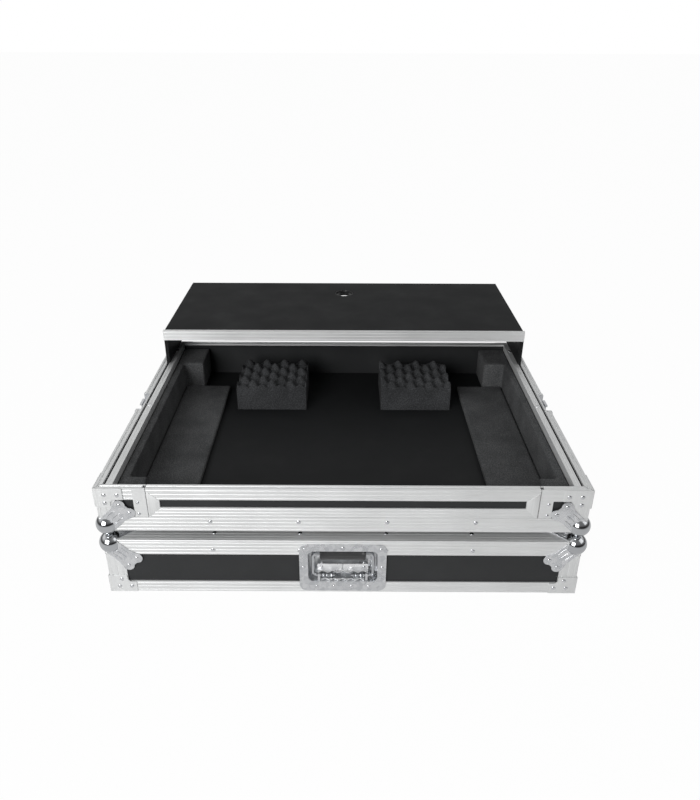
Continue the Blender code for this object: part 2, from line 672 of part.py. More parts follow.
def slot_channel(side):
    """Returns the channel that one end of the front panel slides in."""
    seam = PANEL_SEAM + PANEL_PLAY
    web = PANEL_SEAM + PANEL_TONGUE + GAP
    outline = [(seam, 0), (seam + SLOT_FACE_WIDTH, 0), (seam + SLOT_FACE_WIDTH, METAL),
               (web + SLOT_METAL, METAL), (web + SLOT_METAL, RIM_WIDTH), (seam, RIM_WIDTH),
               (seam, BOARD_IN + GAP), (web, BOARD_IN + GAP), (web, METAL), (seam, METAL)]
    points = [(side * x, FRONT + y) for x, y in outline]
    return prism("channel", points, PANEL_BASE, TRAY_RIM - METAL / 2, "Z")


def slot_mouth(side):
    """Returns the cutter that opens the rim over a channel, so that the front panel's end lifts out."""
    near, far = sorted((side * PANEL_SEAM, side * (PANEL_SEAM + PANEL_TONGUE + GAP)))
    low = (near, FRONT + METAL, TRAY_RIM - 2 * METAL)
    return box("mouth", low, (far, FRONT + BOARD_IN + GAP, TRAY_RIM + METAL))


def build_panel(laminate, aluminium):
    """Makes the removable front panel: its board and the aluminium frame round it."""
    half = PANEL_SEAM + PANEL_TONGUE
    top = TRAY_RIM - METAL - GAP
    box("front_panel_board", (-half, FRONT + BOARD_OUT, PANEL_BASE), (half, FRONT + BOARD_IN, top), laminate)
    groove_width = TONGUE_WIDTH + 2 * TONGUE_CLEARANCE
    groove_depth = TONGUE_HEIGHT + TONGUE_CLEARANCE
    section = [(inset, TRAY_RIM - depth) for inset, depth in rim_section(groove_width, -groove_depth)]
    ends = [(-PANEL_SEAM, FRONT, 0, 1), (PANEL_SEAM, FRONT, 0, 1)]
    frame = sweep("front_panel_frame", section, ends, aluminium, closed=False)
    foot_top = PANEL_BASE + PANEL_FOOT_HEIGHT
    face = [(d, s) for s, d in grooved(PANEL_BASE, foot_top, RIM_GROOVES)]
    face = [(0, PANEL_BASE)] + face + [(0, foot_top), (METAL, foot_top), (METAL, PANEL_BASE)]
    foot = sweep("foot", face, ends, aluminium, closed=False)
    lap = METAL / 2
    stile_top = TRAY_RIM - RIM_HEIGHT + lap
    window = PANEL_SEAM - PANEL_STILE_WIDTH
    stiles = []
    for side in (-1, 1):
        near, far = sorted((side * PANEL_SEAM, side * window))
        stiles.append(box("stile", (near, FRONT, foot_top - lap), (far, FRONT + METAL, stile_top)))
    join(frame, *stiles, foot)


def build_glides(laminate, aluminium):
    """Makes the inner wall and capping rail that form the shelf's slot on each side."""
    front = FRONT + INSIDE
    back = BACK - INSIDE
    for side, side_name in ((-1, "left"), (1, "right")):
        cap = METAL + GAP
        outer = SLOT_INSET + cap
        inner = RAIL_INSET - cap
        outline = [(side_face(side, BOARD_IN + GAP), FLOOR), (side_face(side, inner), FLOOR),
                   (side_face(side, inner), TRAY_RIM - cap), (side_face(side, outer), TRAY_RIM - cap),
                   (side_face(side, outer), LEDGE_TOP), (side_face(side, BOARD_IN + GAP), LEDGE_TOP)]
        prism(f"glide_wall_{side_name}", outline, front, back, "Y", laminate)
        hollow = [(SLOT_INSET + METAL, RAIL_FLANGE), (SLOT_INSET + METAL, METAL),
                  (RAIL_INSET - METAL, METAL), (RAIL_INSET - METAL, RAIL_FLANGE)]
        section = [(SLOT_INSET, RAIL_FLANGE)] + hollow + [(RAIL_INSET, RAIL_FLANGE), (RAIL_INSET, 0)]
        section += grooved(RAIL_INSET, SLOT_INSET, 1) + [(SLOT_INSET, 0)]
        points = [(side_face(side, inset), TRAY_RIM - depth) for inset, depth in section]
        prism(f"glide_rail_{side_name}", points, front, back, "Y", aluminium)


def build_shelf(laminate, aluminium):
    """Makes the sliding shelf: its board, front profile and cheeks."""
    front = FRONT + SHELF_SETBACK
    back = front + SHELF_DEPTH
    under = SHELF_TOP - SHELF_BOARD
    profile_half = HALF_WIDTH - INSIDE
    half = profile_half - SHELF_PROFILE_OVERHANG
    near = front + METAL + GAP
    lip_foot = SHELF_TOP - SHELF_LIP_METAL
    rebate = front + SHELF_LIP_DEPTH + GAP
    outline = [(near, under), (back, under), (back, SHELF_TOP), (rebate, SHELF_TOP), (rebate, lip_foot - GAP),
               (near, lip_foot - GAP)]
    board = prism("shelf_board", outline, -half, half, "X", laminate)
    centre = (0, back - CABLE_HOLE_SETBACK)
    ring = arc(centre, CABLE_HOLE / 2, 0, 360 - 360 / HOLE_SEGMENTS, HOLE_SEGMENTS - 1)
    cut(board, prism("hole", ring, under - METAL, SHELF_TOP + METAL, "Z"))
    foot = SHELF_TOP - SHELF_PROFILE_HEIGHT
    face = [(0, SHELF_TOP)] + [(d, s) for s, d in grooved(SHELF_TOP, foot, RIM_GROOVES)] + [(0, foot)]
    section = face + [(METAL, foot), (METAL, lip_foot)]
    section += [(SHELF_LIP_DEPTH, lip_foot), (SHELF_LIP_DEPTH, SHELF_TOP)]
    ends = [(-profile_half, front, 0, 1), (profile_half, front, 0, 1)]
    sweep("shelf_front_profile", section, ends, aluminium, closed=False)
    low = TRAY_RIM + CHEEK_CLEARANCE
    cheek_outline = rectangle((near, low), (back - CHEEK_SETBACK, under - GAP))
    tongue_outline = rectangle((near, LEDGE_TOP + GAP), (BACK - INSIDE - GAP, low + CHEEK_OVERLAP))
    tongue_plate = SLOT_INSET - GAP - INSIDE
    for side, side_name in ((-1, "left"), (1, "right")):
        cheek = side_prism(f"shelf_cheek_{side_name}", cheek_outline, side, INSIDE, CHEEK, laminate)
        join(cheek, side_prism("tongue", tongue_outline, side, INSIDE, tongue_plate))


def build_foam(foam):
    """Makes the foam: side linings with their end blocks, support pads and egg-crate blocks."""
    front = FRONT + INSIDE
    back = BACK - INSIDE
    for side, side_name in ((-1, "left"), (1, "right")):
        def x(inset):
            return side_face(side, inset)
        outer = RAIL_INSET + GAP
        outline = [(x(outer), front), (x(LINING_INSET + FRONT_PIECE_WIDTH), front),
                   (x(LINING_INSET + FRONT_PIECE_WIDTH), front + FRONT_PIECE_DEPTH),
                   (x(LINING_INSET), front + FRONT_PIECE_DEPTH), (x(LINING_INSET), back - BACK_BLOCK_DEPTH),
                   (x(LINING_INSET + BACK_BLOCK_WIDTH), back - BACK_BLOCK_DEPTH),
                   (x(LINING_INSET + BACK_BLOCK_WIDTH), back), (x(outer), back)]
        prism(f"side_foam_{side_name}", outline, FLOOR, FOAM_TOP, "Z", foam)
        near = LINING_INSET + GAP
        step = LINING_INSET + FRONT_PIECE_WIDTH + GAP
        far = near + PAD_WIDTH
        rear = back - BACK_BLOCK_DEPTH - GAP
        notch = front + FRONT_PIECE_DEPTH + GAP
        outline = [(x(near), notch), (x(step), notch), (x(step), front), (x(far), front), (x(far), rear),
                   (x(near), rear)]
        prism(f"side_pad_{side_name}", outline, FLOOR, FLOOR + PAD_THICKNESS, "Z", foam)
        crate = x(far + CRATE_SIDE_GAP + CRATE_WIDTH / 2)
        shift, lead = CRATE_PHASES[side_name]
        egg_crate(f"egg_crate_{side_name}", crate, back - CRATE_BACK_GAP - CRATE_DEPTH, shift, lead, foam)


def egg_crate(name, centre, front, shift, lead, finish):
    """Makes a block of egg-crate foam with staggered bumps on its top."""
    columns = round(CRATE_WIDTH / CRATE_PITCH * CRATE_STEPS)
    rows = round(CRATE_DEPTH / CRATE_ROW_PITCH * CRATE_STEPS)
    mesh = bmesh.new()
    grid = []
    for j in range(rows + 1):
        row = []
        for i in range(columns + 1):
            x = CRATE_WIDTH * (i / columns - 0.5)
            y = CRATE_DEPTH * j / rows
            wave = cos(2 * pi * (x - shift) / CRATE_PITCH) * cos(2 * pi * (y + lead) / CRATE_ROW_PITCH)
            height = CRATE_BASE + CRATE_BUMP * (1 + wave) / 2
            row.append(mesh.verts.new((centre + x, front + y, FLOOR + height)))
        grid.append(row)
    for near, far in zip(grid, grid[1:]):
        for i in range(columns):
            mesh.faces.new((near[i], near[i + 1], far[i + 1], far[i]))
    rim = grid[0] + [row[-1] for row in grid[1:-1]] + grid[-1][::-1] + [row[0] for row in grid[-2:0:-1]]
    base = [mesh.verts.new((vertex.co.x, vertex.co.y, FLOOR)) for vertex in rim]
    for i in range(len(rim)):
        j = (i + 1) % len(rim)
        mesh.faces.new((rim[i], rim[j], base[j], base[i]))
    mesh.faces.new(base)
    make(name, mesh, finish)


def main():
    """Clears the scene and makes the case."""
    for old in list(bpy.data.objects):
        bpy.data.objects.remove(old)
    laminate = material("black_laminate", (0.03, 0.03, 0.03), 0.5)
    aluminium = material("aluminium", (0.72, 0.72, 0.73), 0.35, 1.0)
    steel = material("zinc_steel", (0.6, 0.6, 0.62), 0.4, 1.0)
    chrome = material("chrome", (0.8, 0.8, 0.82), 0.08, 1.0)
    foam = material("charcoal_foam", (0.07, 0.07, 0.07), 0.95)
    rubber = material("black_rubber", (0.02, 0.02, 0.02), 0.6)
    build_lid(laminate, aluminium, chrome, foam)
    build_handle(steel, chrome, rubber)
    build_tray(laminate, aluminium, chrome)
    build_latches(steel, chrome)
    build_panel(laminate, aluminium)
    build_glides(laminate, aluminium)
    build_shelf(laminate, aluminium)
    build_foam(foam)


main()
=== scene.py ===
"""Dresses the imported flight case: finishes, cut foam, pressed fittings, rivets, stage and camera.

The case's boards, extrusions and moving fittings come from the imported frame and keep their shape.
This script gives them their materials, replaces the plain foam, grip and ball corners with
detailed ones, and adds the rivets, screws and small pressings. Metres, in the row frame.
"""

import logging
from dataclasses import dataclass
from enum import Enum
from itertools import product
from math import cos, pi, radians, sin, sqrt
from typing import ClassVar

import bmesh
import bpy
from mathutils import Matrix, Vector


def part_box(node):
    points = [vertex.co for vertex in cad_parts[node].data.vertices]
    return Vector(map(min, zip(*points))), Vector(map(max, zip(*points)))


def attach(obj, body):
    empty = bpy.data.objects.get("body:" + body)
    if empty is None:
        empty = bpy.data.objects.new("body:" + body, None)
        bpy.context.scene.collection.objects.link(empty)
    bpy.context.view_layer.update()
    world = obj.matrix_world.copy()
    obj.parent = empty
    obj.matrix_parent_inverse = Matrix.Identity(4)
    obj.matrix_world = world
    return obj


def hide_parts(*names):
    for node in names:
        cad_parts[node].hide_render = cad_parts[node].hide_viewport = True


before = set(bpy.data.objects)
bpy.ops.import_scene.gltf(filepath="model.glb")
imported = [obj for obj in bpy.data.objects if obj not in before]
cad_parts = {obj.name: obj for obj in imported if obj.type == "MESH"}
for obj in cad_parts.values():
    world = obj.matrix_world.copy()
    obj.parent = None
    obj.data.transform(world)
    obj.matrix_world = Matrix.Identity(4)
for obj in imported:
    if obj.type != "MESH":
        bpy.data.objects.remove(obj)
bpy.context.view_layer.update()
SMOOTH_ANGLE = radians(38)    # edges sharper than this stay sharp
GAP = 0.0003                  # keeps faces apart that would otherwise lie in each other
PROUD = 0.0015                # how far braces, petals and dishes stand out from the case
DOME_SIDES = 18
DOME_RINGS = 5
FORWARD = Vector((0, -1, 0))
UP = Vector((0, 0, 1))

log = logging.getLogger("flight_case")

BMesh = bmesh.types.BMesh
Tree = bpy.types.NodeTree
Wire = bpy.types.NodeSocket | bpy.types.Node     # a node stands for its first output
Place = tuple[Vector, Vector]                    # a fitting's foot, and the way that it looks
Point = tuple[float, float]
Triple = tuple[float, float, float]
Marks = tuple[tuple[Wire, str], ...]             # masks, and their colours
Ramp = tuple[str, float, float, float, float]    # a source, from low to high, and what these give


def linear(colour: str) -> tuple[float, float, float, float]:
    """Turns a colour from sRGB into the linear values that a shader takes.

    Args:
        colour: The sRGB colour as a hex string, such as "#a0a0a0".

    Returns:
        The linear red, green and blue values, with an alpha of 1.
    """
    channels = [int(colour[start:start + 2], 16) / 255 for start in (1, 3, 5)]
    red, green, blue = (c / 12.92 if c <= 0.04045 else ((c + 0.055) / 1.055) ** 2.4 for c in channels)
    return red, green, blue, 1.0


def per_metre(millimetres: float) -> float:
    """Returns the texture scale whose features have this size in millimetres."""
    return 1000.0 / millimetres


def add_node(tree: Tree, kind: str, inputs: dict | None = None, **settings: object) -> bpy.types.Node:
    """Adds a node with its settings and links.

    Args:
        tree: The node tree that gets the node.
        kind: The node's type name after ShaderNode.
        inputs: Values or wires, by the name or number of the input.
        **settings: The node's own properties.

    Returns:
        The new node.
    """
    node = tree.nodes.new(f"ShaderNode{kind}")
    for name, value in settings.items():
        setattr(node, name, value)
    for key, value in (inputs or {}).items():
        if isinstance(value, bpy.types.Node):
            value = value.outputs[0]
        if isinstance(value, bpy.types.NodeSocket):
            tree.links.new(value, node.inputs[key])
        else:
            node.inputs[key].default_value = value
    return node


class MixSocket(int, Enum):
    """Numbers of the mix node's sockets, whose names repeat for each kind of data."""

    FACTOR = 0
    FIRST_VECTOR = 4
    SECOND_VECTOR = 5
    FIRST_COLOUR = 6
    SECOND_COLOUR = 7
    VECTOR_RESULT = 1
    COLOUR_RESULT = 2


class Slot(str, Enum):
    """The record's material slots."""

    LAMINATE = "black_laminate"
    ALUMINIUM = "anodised_aluminium"
    CHROME = "chromed_steel"
    ZINC = "zinc_steel"
    FOAM = "charcoal_foam"
    RUBBER = "black_rubber"


class Run(Enum):
    """Which way an extrusion's length runs, and so its die lines."""

    FRAME = "round a rectangular frame"
    UPRIGHT = "upright"
    ACROSS = "across the case"
    DEPTH = "from front to back"


@dataclass(frozen=True)
class Shell:
    """The case's outer faces and shared heights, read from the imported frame."""

    side: float
    front: float
    back: float
    lid_top: float
    lid_rim: float
    tray_base: float
    tray_rim: float

    @classmethod
    def measured(cls) -> "Shell":
        """Returns the shell with its faces measured on the extrusions."""
        rim_low, rim_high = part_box("tray_rim_frame")
        return cls(side=rim_high.x, front=rim_low.y, back=rim_high.y,
                   lid_top=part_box("lid_top_edge_frame")[1].z, lid_rim=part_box("lid_rim_frame")[0].z,
                   tray_base=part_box("tray_bottom_edge_frame")[0].z, tray_rim=rim_high.z)

    @property
    def middle(self) -> float:
        """The middle of the case from front to back."""
        return (self.front + self.back) / 2

    @property
    def half_depth(self) -> float:
        """Half of the case's depth."""
        return (self.back - self.front) / 2

    def sides(self) -> list[tuple[Vector, Vector, Vector, float]]:
        """Returns each side's middle on the ground, the way along it, the way out, and half its length."""
        across, back = (Vector((1, 0, 0)), self.side), (Vector((0, 1, 0)), self.half_depth)
        return [(Vector((0, self.middle, 0)) + way * reach * out, along, way * out, half)
                for (along, half), (way, reach) in ((across, back), (back, across)) for out in (-1, 1)]


@dataclass(frozen=True)
class Clouds:
    """A soft texture: its features' size in millimetres, and how finely they break up."""

    size: float
    detail: float = 0.0
    kind: ClassVar[str] = "TexNoise"


class Cells(Clouds):
    """A texture of cells, sized as clouds are."""

    kind = "TexVoronoi"


@dataclass(frozen=True)
class Pattern:
    """What a finish's pattern gives to its shader."""

    tone: Wire                   # leads from the dull colour to the bright one
    height: Wire                 # the relief
    gloss: Wire | None = None    # leads from the smooth roughness to the rough one


@dataclass(frozen=True, kw_only=True)
class Finish:
    """What every finish shares: a material whose pattern lies in the row frame's millimetres."""

    name: str
    slot: Slot
    dull: str
    bright: str
    smooth: float
    rough: float = 1.0
    fine: Clouds
    broad: Clouds | None = None
    relief: float
    relief_depth: float
    tone_span: Point = (0.0, 1.0)     # the pattern's values that give the two colours
    bright_share: float = 1.0         # how far the bright colour covers the dull one
    gloss_span: Point = (0.3, 0.7)    # the pattern's values that give the two roughnesses
    metallic: float = 0.0
    specular: float = 0.5

    def material(self) -> bpy.types.Material:
        """Finds the finish's material, or makes it on first use.

        Returns:
            The material.
        """
        made = bpy.data.materials.get(self.name)
        if made is None:
            made = bpy.data.materials.new(self.name)
            made.use_nodes = True
            self.dress(made.node_tree)
        return made

    def dress(self, tree: Tree) -> None:
        """Lays the finish's pattern into a shader's colour, roughness and relief.

        Args:
            tree: The material's node tree.
        """
        tree.nodes.clear()
        place = add_node(tree, "TexCoord").outputs["Object"]
        lines, marks = self.lay(tree, place)
        fine, broad = (None if texture is None else add_node(tree, texture.kind, {
            "Vector": spot, "Scale": per_metre(texture.size), "Detail": texture.detail})
            for texture, spot in ((self.fine, lines), (self.broad, place)))
        look = self.pattern(tree, fine, broad)
        tone = add_node(tree, "MapRange", {
            "Value": look.tone, "From Min": self.tone_span[0], "From Max": self.tone_span[1],
            "To Max": self.bright_share})
        colour = linear(self.dull)
        for share, cover in ((tone, self.bright), *marks):
            colour = add_node(tree, "Mix", {
                MixSocket.FACTOR: share, MixSocket.FIRST_COLOUR: colour,
                MixSocket.SECOND_COLOUR: linear(cover)}, data_type="RGBA").outputs[MixSocket.COLOUR_RESULT]
        rough = self.smooth if look.gloss is None else add_node(tree, "MapRange", {
            "Value": look.gloss, "From Min": self.gloss_span[0], "From Max": self.gloss_span[1],
            "To Min": self.smooth, "To Max": self.rough})
        bump = add_node(tree, "Bump", {
            "Height": look.height, "Strength": self.relief, "Distance": self.relief_depth})
        shader = add_node(tree, "BsdfPrincipled", {
            "Base Color": colour, "Metallic": self.metallic, "Roughness": rough,
            "Specular IOR Level": self.specular, "Normal": bump})
        add_node(tree, "OutputMaterial", {"Surface": shader})

    def lay(self, tree: Tree, place: Wire) -> tuple[Wire, Marks]:
        """Returns the fine texture's coordinates and any marks; most finishes take the row frame's."""
        return place, ()

    def pattern(self, tree: Tree, fine: Wire, broad: Wire | None) -> Pattern:
        """Combines the finish's two textures; each finish has its own way."""
        raise NotImplementedError


@dataclass(frozen=True, kw_only=True)
class AnodisedAluminium(Finish):
    """Extruded and clear anodised aluminium: pale satin metal with fine lines along its length."""

    shell: Shell
    run: Run
    slot: Slot = Slot.ALUMINIUM
    dull: str = "#dfe0e0"
    bright: str = "#ebecec"
    fine: Clouds = Clouds(1.1, 3.0)      # die lines; real ones are finer, and would not show
    broad: Clouds = Clouds(90.0, 2.0)    # soft clouds of the anodic layer
    tone_span: Point = (0.12, 0.38)
    smooth: float = 0.48
    rough: float = 0.6
    relief: float = 0.06
    relief_depth: float = 0.0002
    metallic: float = 0.66               # the anodic layer scatters part of the light
    stretch: float = 0.01                # a die line's width for its length
    joint: str = "#6c6e70"
    joint_half: float = 0.0005           # half the width of a mitre's dark joint

    def lay(self, tree: Tree, place: Wire) -> tuple[Wire, Marks]:
        """Stretches the coordinates along the extrusion, and marks the mitres of a frame.

        Args:
            tree: The material's node tree.
            place: The point in the row frame.

        Returns:
            The stretched coordinates, and the joints' mask and colour.
        """
        squeeze = {Run.UPRIGHT: (1, 1, self.stretch), Run.ACROSS: (self.stretch, 1, 1),
                   Run.DEPTH: (1, self.stretch, 1)}
        scale, marks = squeeze.get(self.run), ()
        if self.run is Run.FRAME:
            middle = (0, self.shell.middle, 0)
            centred = add_node(tree, "VectorMath", {0: place, 1: middle}, operation="SUBTRACT")
            size = add_node(tree, "VectorMath", {0: centred}, operation="ABSOLUTE")
            parts = add_node(tree, "SeparateXYZ", {"Vector": size}).outputs
            spare = add_node(tree, "Math", {0: parts["X"], 1: parts["Y"]}, operation="SUBTRACT")
            corner = self.shell.side - self.shell.half_depth
            side = add_node(tree, "Math", {0: spare, 1: corner}, operation="GREATER_THAN")
            joint = add_node(tree, "Math", {0: spare, 1: corner, 2: self.joint_half}, operation="COMPARE")
            marks = ((joint, self.joint),)
            scale = add_node(tree, "Mix", {
                MixSocket.FACTOR: side, MixSocket.FIRST_VECTOR: squeeze[Run.ACROSS],
                MixSocket.SECOND_VECTOR: squeeze[Run.DEPTH]},
                data_type="VECTOR").outputs[MixSocket.VECTOR_RESULT]
        return add_node(tree, "VectorMath", {0: place, 1: scale}, operation="MULTIPLY"), marks

    def pattern(self, tree: Tree, fine: Wire, broad: Wire | None) -> Pattern:
        """Fades the die lines in and out with the soft clouds."""
        tone = add_node(tree, "Math", {0: fine, 1: broad}, operation="MULTIPLY")
        return Pattern(tone=tone, height=fine, gloss=fine)


@dataclass(frozen=True, kw_only=True)
class PlatedSteel(Finish):
    """Pressed steel under a plated coat: mirror chrome, or zinc with its soft crystal patches."""

    slot: Slot = Slot.CHROME
    fine: Clouds = Cells(9.0)            # the coat's patches
    broad: Clouds = Clouds(30.0, 4.0)    # smudges of handling
    gloss_span: Point = (0.35, 0.7)
    relief: float = 0.03
    relief_depth: float = 0.001
    metallic: float = 1.0

    def pattern(self, tree: Tree, fine: Wire, broad: Wire | None) -> Pattern:
        """Shades the coat's patches, and varies the gloss with handling."""
        shade = add_node(tree, "SeparateColor", {"Color": fine.outputs["Color"]})
        return Pattern(tone=shade, height=broad, gloss=broad)


@dataclass(frozen=True, kw_only=True)
class LaminatedPlywood(Finish):
    """Plywood under a pressed phenolic laminate: near black, with a fine pebbled skin that dulls it."""

    slot: Slot = Slot.LAMINATE
    dull: str = "#2a2b2c"
    bright: str = "#323334"              # faint pale scuffs
    fine: Clouds = Cells(2.2)            # real pebbles are about 0.8, and would not show
    broad: Clouds = Clouds(70.0, 5.0)    # scuffed areas
    tone_span: Point = (0.45, 0.75)
    bright_share: float = 0.6
    smooth: float = 0.4
    rough: float = 0.52
    relief: float = 0.35
    relief_depth: float = 0.0002
    specular: float = 0.28

    def pattern(self, tree: Tree, fine: Wire, broad: Wire | None) -> Pattern:
        """Raises the pebbles, and scuffs both colour and gloss."""
        return Pattern(tone=broad, height=fine, gloss=broad)


@dataclass(frozen=True, kw_only=True)
class CutFoam(Finish):
    """Open-cell polyurethane foam: matt charcoal, speckled by the dark mouths of its cells."""

    slot: Slot = Slot.FOAM
    dull: str = "#3c3d3e"                # the cells' mouths
    bright: str = "#646566"              # the walls between them
    fine: Clouds = Cells(1.9)            # real cells are about 1, and would not show
    broad: Clouds = Clouds(55.0, 6.0)    # paler and darker areas
    tone_span: Point = (0.05, 0.42)
    smooth: float = 1.0
    relief: float = 0.6
    relief_depth: float = 0.0008
    specular: float = 0.2

    def pattern(self, tree: Tree, fine: Wire, broad: Wire | None) -> Pattern:
        """Sinks the cells in the foam's colour and its relief."""
        depth = add_node(tree, "Math", {0: fine, 1: broad}, operation="MULTIPLY")
        return Pattern(tone=depth, height=fine)


@dataclass(frozen=True, kw_only=True)
class MouldedRubber(Finish):
    """Moulded rubber: black with a soft, broad sheen and a fine leathery grain."""

    slot: Slot = Slot.RUBBER
    dull: str = "#1b1b1c"
    bright: str = "#2a2a2b"            # dust in the grain
    fine: Clouds = Clouds(1.4, 3.0)    # a real mould's grain is finer, and would not show
    smooth: float = 0.28
    relief: float = 0.3
    relief_depth: float = 0.0003
    specular: float = 0.8

    def pattern(self, tree: Tree, fine: Wire, broad: Wire | None) -> Pattern:
        """Draws the grain in both colour and relief."""
        return Pattern(tone=fine, height=fine)


@dataclass(frozen=True)
class FinishSet:
    """The case's finishes."""

    shell: Shell
    # Polished chrome on the balls and the bail: a mirror with faint smudges.
    chrome: Finish = PlatedSteel(name="polished_chromed_steel", dull="#bec0c3", bright="#c8cacc",
                                 smooth=0.04, rough=0.12, fine=Cells(60.0), relief=0.02)
    # Plated pressings, the dishes and latches: bright steel that blurs what it reflects.
    pressing: Finish = PlatedSteel(name="chromed_pressing", dull="#c2c4c7", bright="#dadbdd", smooth=0.24,
                                   rough=0.4, fine=Cells(7.0), metallic=0.85)
    # The ball corners' plated petals: a little brighter and glossier than the dishes.
    stamping: Finish = PlatedSteel(name="chromed_stamping", dull="#cdcfd2", bright="#e2e3e5", smooth=0.18,
                                   rough=0.3, fine=Cells(7.0), metallic=0.9)
    # The handle's nickel-plated bracket: its pale colour and low metallic are partly painted light, a
    # painted highlight that keeps it softly bright against the dish behind it.
    bracket: Finish = PlatedSteel(name="nickel_plated_bracket", dull="#e4e5e7", bright="#f1f2f3",
                                  smooth=0.24, rough=0.34, metallic=0.55)
    # Zinc-plated steel: grey, with soft crystal patches.
    zinc: Finish = PlatedSteel(name="zinc_plated_steel", slot=Slot.ZINC, dull="#aeb1b5",
                               bright="#c4c7ca", smooth=0.22, rough=0.38)
    # Nickel-plated rivet heads: bright points with soft highlights.
    rivet: Finish = PlatedSteel(name="nickel_plated_rivet", slot=Slot.ZINC, dull="#d0d2d5",
                                bright="#e2e3e5", smooth=0.12, rough=0.24)
    # The outer boards' laminate: dull, with a pebbled skin.
    laminate: Finish = LaminatedPlywood(name="laminated_plywood")
    # The shelf's and the floor's laminate: smoother and more matt than the outside, and painted darker, as
    # painted shade on these inner boards that face up.
    shade_darkened_laminate: Finish = LaminatedPlywood(name="smooth_laminated_plywood", dull="#1d1e1f",
                                               bright="#222324", smooth=0.5, rough=0.62, specular=0.13)
    # The linings' and pads' foam: matt and grey, so that their faces read apart.
    foam: Finish = CutFoam(name="polyurethane_foam")
    # The egg-crate blocks' foam: darker, with larger cells.
    crate_foam: Finish = CutFoam(name="egg_crate_foam", dull="#28292a", bright="#4a4b4d",
                                 fine=Cells(2.2))
    # The grip's and the cable sleeve's rubber: black, with a soft sheen along their rounding.
    rubber: Finish = MouldedRubber(name="moulded_rubber")

    def aluminium(self, run: Run) -> Finish:
        """Returns anodised aluminium whose die lines run this way."""
        return AnodisedAluminium(name=f"anodised_aluminium_{run.name.lower()}", shell=self.shell, run=run)

    @property
    def brightened_shelf_aluminium(self) -> Finish:
        """The shelf's profile: the same extrusion in a paler, less metallic copy, painted light that makes
        it show brighter than the other extrusions.
        """
        return AnodisedAluminium(name="anodised_aluminium_shelf", shell=self.shell, run=Run.ACROSS,
                                 dull="#e4e5e5", bright="#f0f1f1", metallic=0.45)


def link(name: str, data: bpy.types.ID) -> bpy.types.Object:
    """Returns a new object of this data, linked to the scene."""
    bpy.context.scene.collection.objects.link(made := bpy.data.objects.new(name, data))
    return made


def to_data(name: str, mesh: BMesh) -> bpy.types.Mesh:
    """Turns a built mesh into an object's data.

    Args:
        name: The data's name.
        mesh: The built mesh; it is freed.

    Returns:
        The data.
    """
    data = bpy.data.meshes.new(name)
    mesh.normal_update()
    mesh.to_mesh(data)
    mesh.free()
    return data


def add_piece(name: str, mesh: BMesh, body: str, finish: Finish) -> bpy.types.Object:
    """Makes a piece that rides on a body, shaded smooth between its sharp edges.

    Args:
        name: The piece's name.
        mesh: The mesh in the row frame; it is freed.
        body: The body that the piece moves with.
        finish: The piece's finish.

    Returns:
        The new piece.
    """
    data = to_data(name, mesh)
    data.materials.clear()
    data.materials.append(finish.material())
    data.shade_smooth()
    data.set_sharp_from_angle(angle=SMOOTH_ANGLE)
    piece = link(name, data)
    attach(piece, body)
    log.info("%s rides on %s with %d faces", name, body, len(data.polygons))
    return piece


def add_modifier(piece: bpy.types.Object, kind: str, **settings: object) -> None:
    """Adds a modifier with its settings.

    Args:
        piece: The object that gets it.
        kind: The modifier's type name.
        **settings: The modifier's own properties.
    """
    modifier = piece.modifiers.new(kind.lower(), kind)
    for name, value in settings.items():
        setattr(modifier, name, value)


def applied(piece: bpy.types.Object) -> BMesh:
    """Applies an object's modifiers and removes the object.

    Args:
        piece: The object.

    Returns:
        Its mesh with the modifiers applied.
    """
    bpy.context.view_layer.update()
    mesh = bmesh.new()
    mesh.from_object(piece, bpy.context.evaluated_depsgraph_get())
    bpy.data.objects.remove(piece)
    return mesh


def seat(point: Vector, normal: Vector) -> Matrix:
    """Returns the placement of a fitting that stands on a face, with its own +Z out of the face."""
    return Matrix.Translation(point) @ normal.to_track_quat("Z", "Y").to_matrix().to_4x4()


def loft(mesh: BMesh, rings: list[list[Vector]], closed: bool = False) -> None:
    """Skins a row of rings.

    Args:
        mesh: The mesh that gets the skin.
        rings: The rings' points, as many in each.
        closed: Whether the last ring joins the first, and not each its own end face.
    """
    made = [[mesh.verts.new(point) for point in ring] for ring in rings]
    for near, far in zip(made, made[1:] + (made[:1] if closed else [])):
        for i in range(len(near)):
            j = (i + 1) % len(near)
            mesh.faces.new((near[i], near[j], far[j], far[i]))
    if not closed:
        mesh.faces.new(made[0][::-1])
        mesh.faces.new(made[-1])
    bmesh.ops.recalc_face_normals(mesh, faces=mesh.faces)


def add_dome(mesh: BMesh, place: Matrix, radius: float, height: float, sink: float = 0.0002) -> None:
    """Adds a closed dome, such as a rivet's head.

    Args:
        mesh: The mesh that gets the dome.
        place: From the dome's frame, with +Z up its middle, to the mesh's.
        radius: The radius of its foot.
        height: Its height.
        sink: How deep its rim is sunk into the face under it.
    """
    turns = [2 * pi * i / DOME_SIDES for i in range(DOME_SIDES)]
    rises = [0.5 * pi * step / DOME_RINGS for step in range(DOME_RINGS)]
    levels = [(radius, -sink)] + [(radius * cos(rise), height * sin(rise)) for rise in rises]
    made = [[mesh.verts.new(place @ Vector((size * cos(turn), size * sin(turn), z))) for turn in turns]
            for size, z in levels]
    top = mesh.verts.new(place @ Vector((0, 0, height)))
    mesh.faces.new(made[0][::-1])
    for i in range(DOME_SIDES):
        j = (i + 1) % DOME_SIDES
        for near, far in zip(made, made[1:]):
            mesh.faces.new((near[i], near[j], far[j], far[i]))
        mesh.faces.new((made[-1][i], made[-1][j], top))


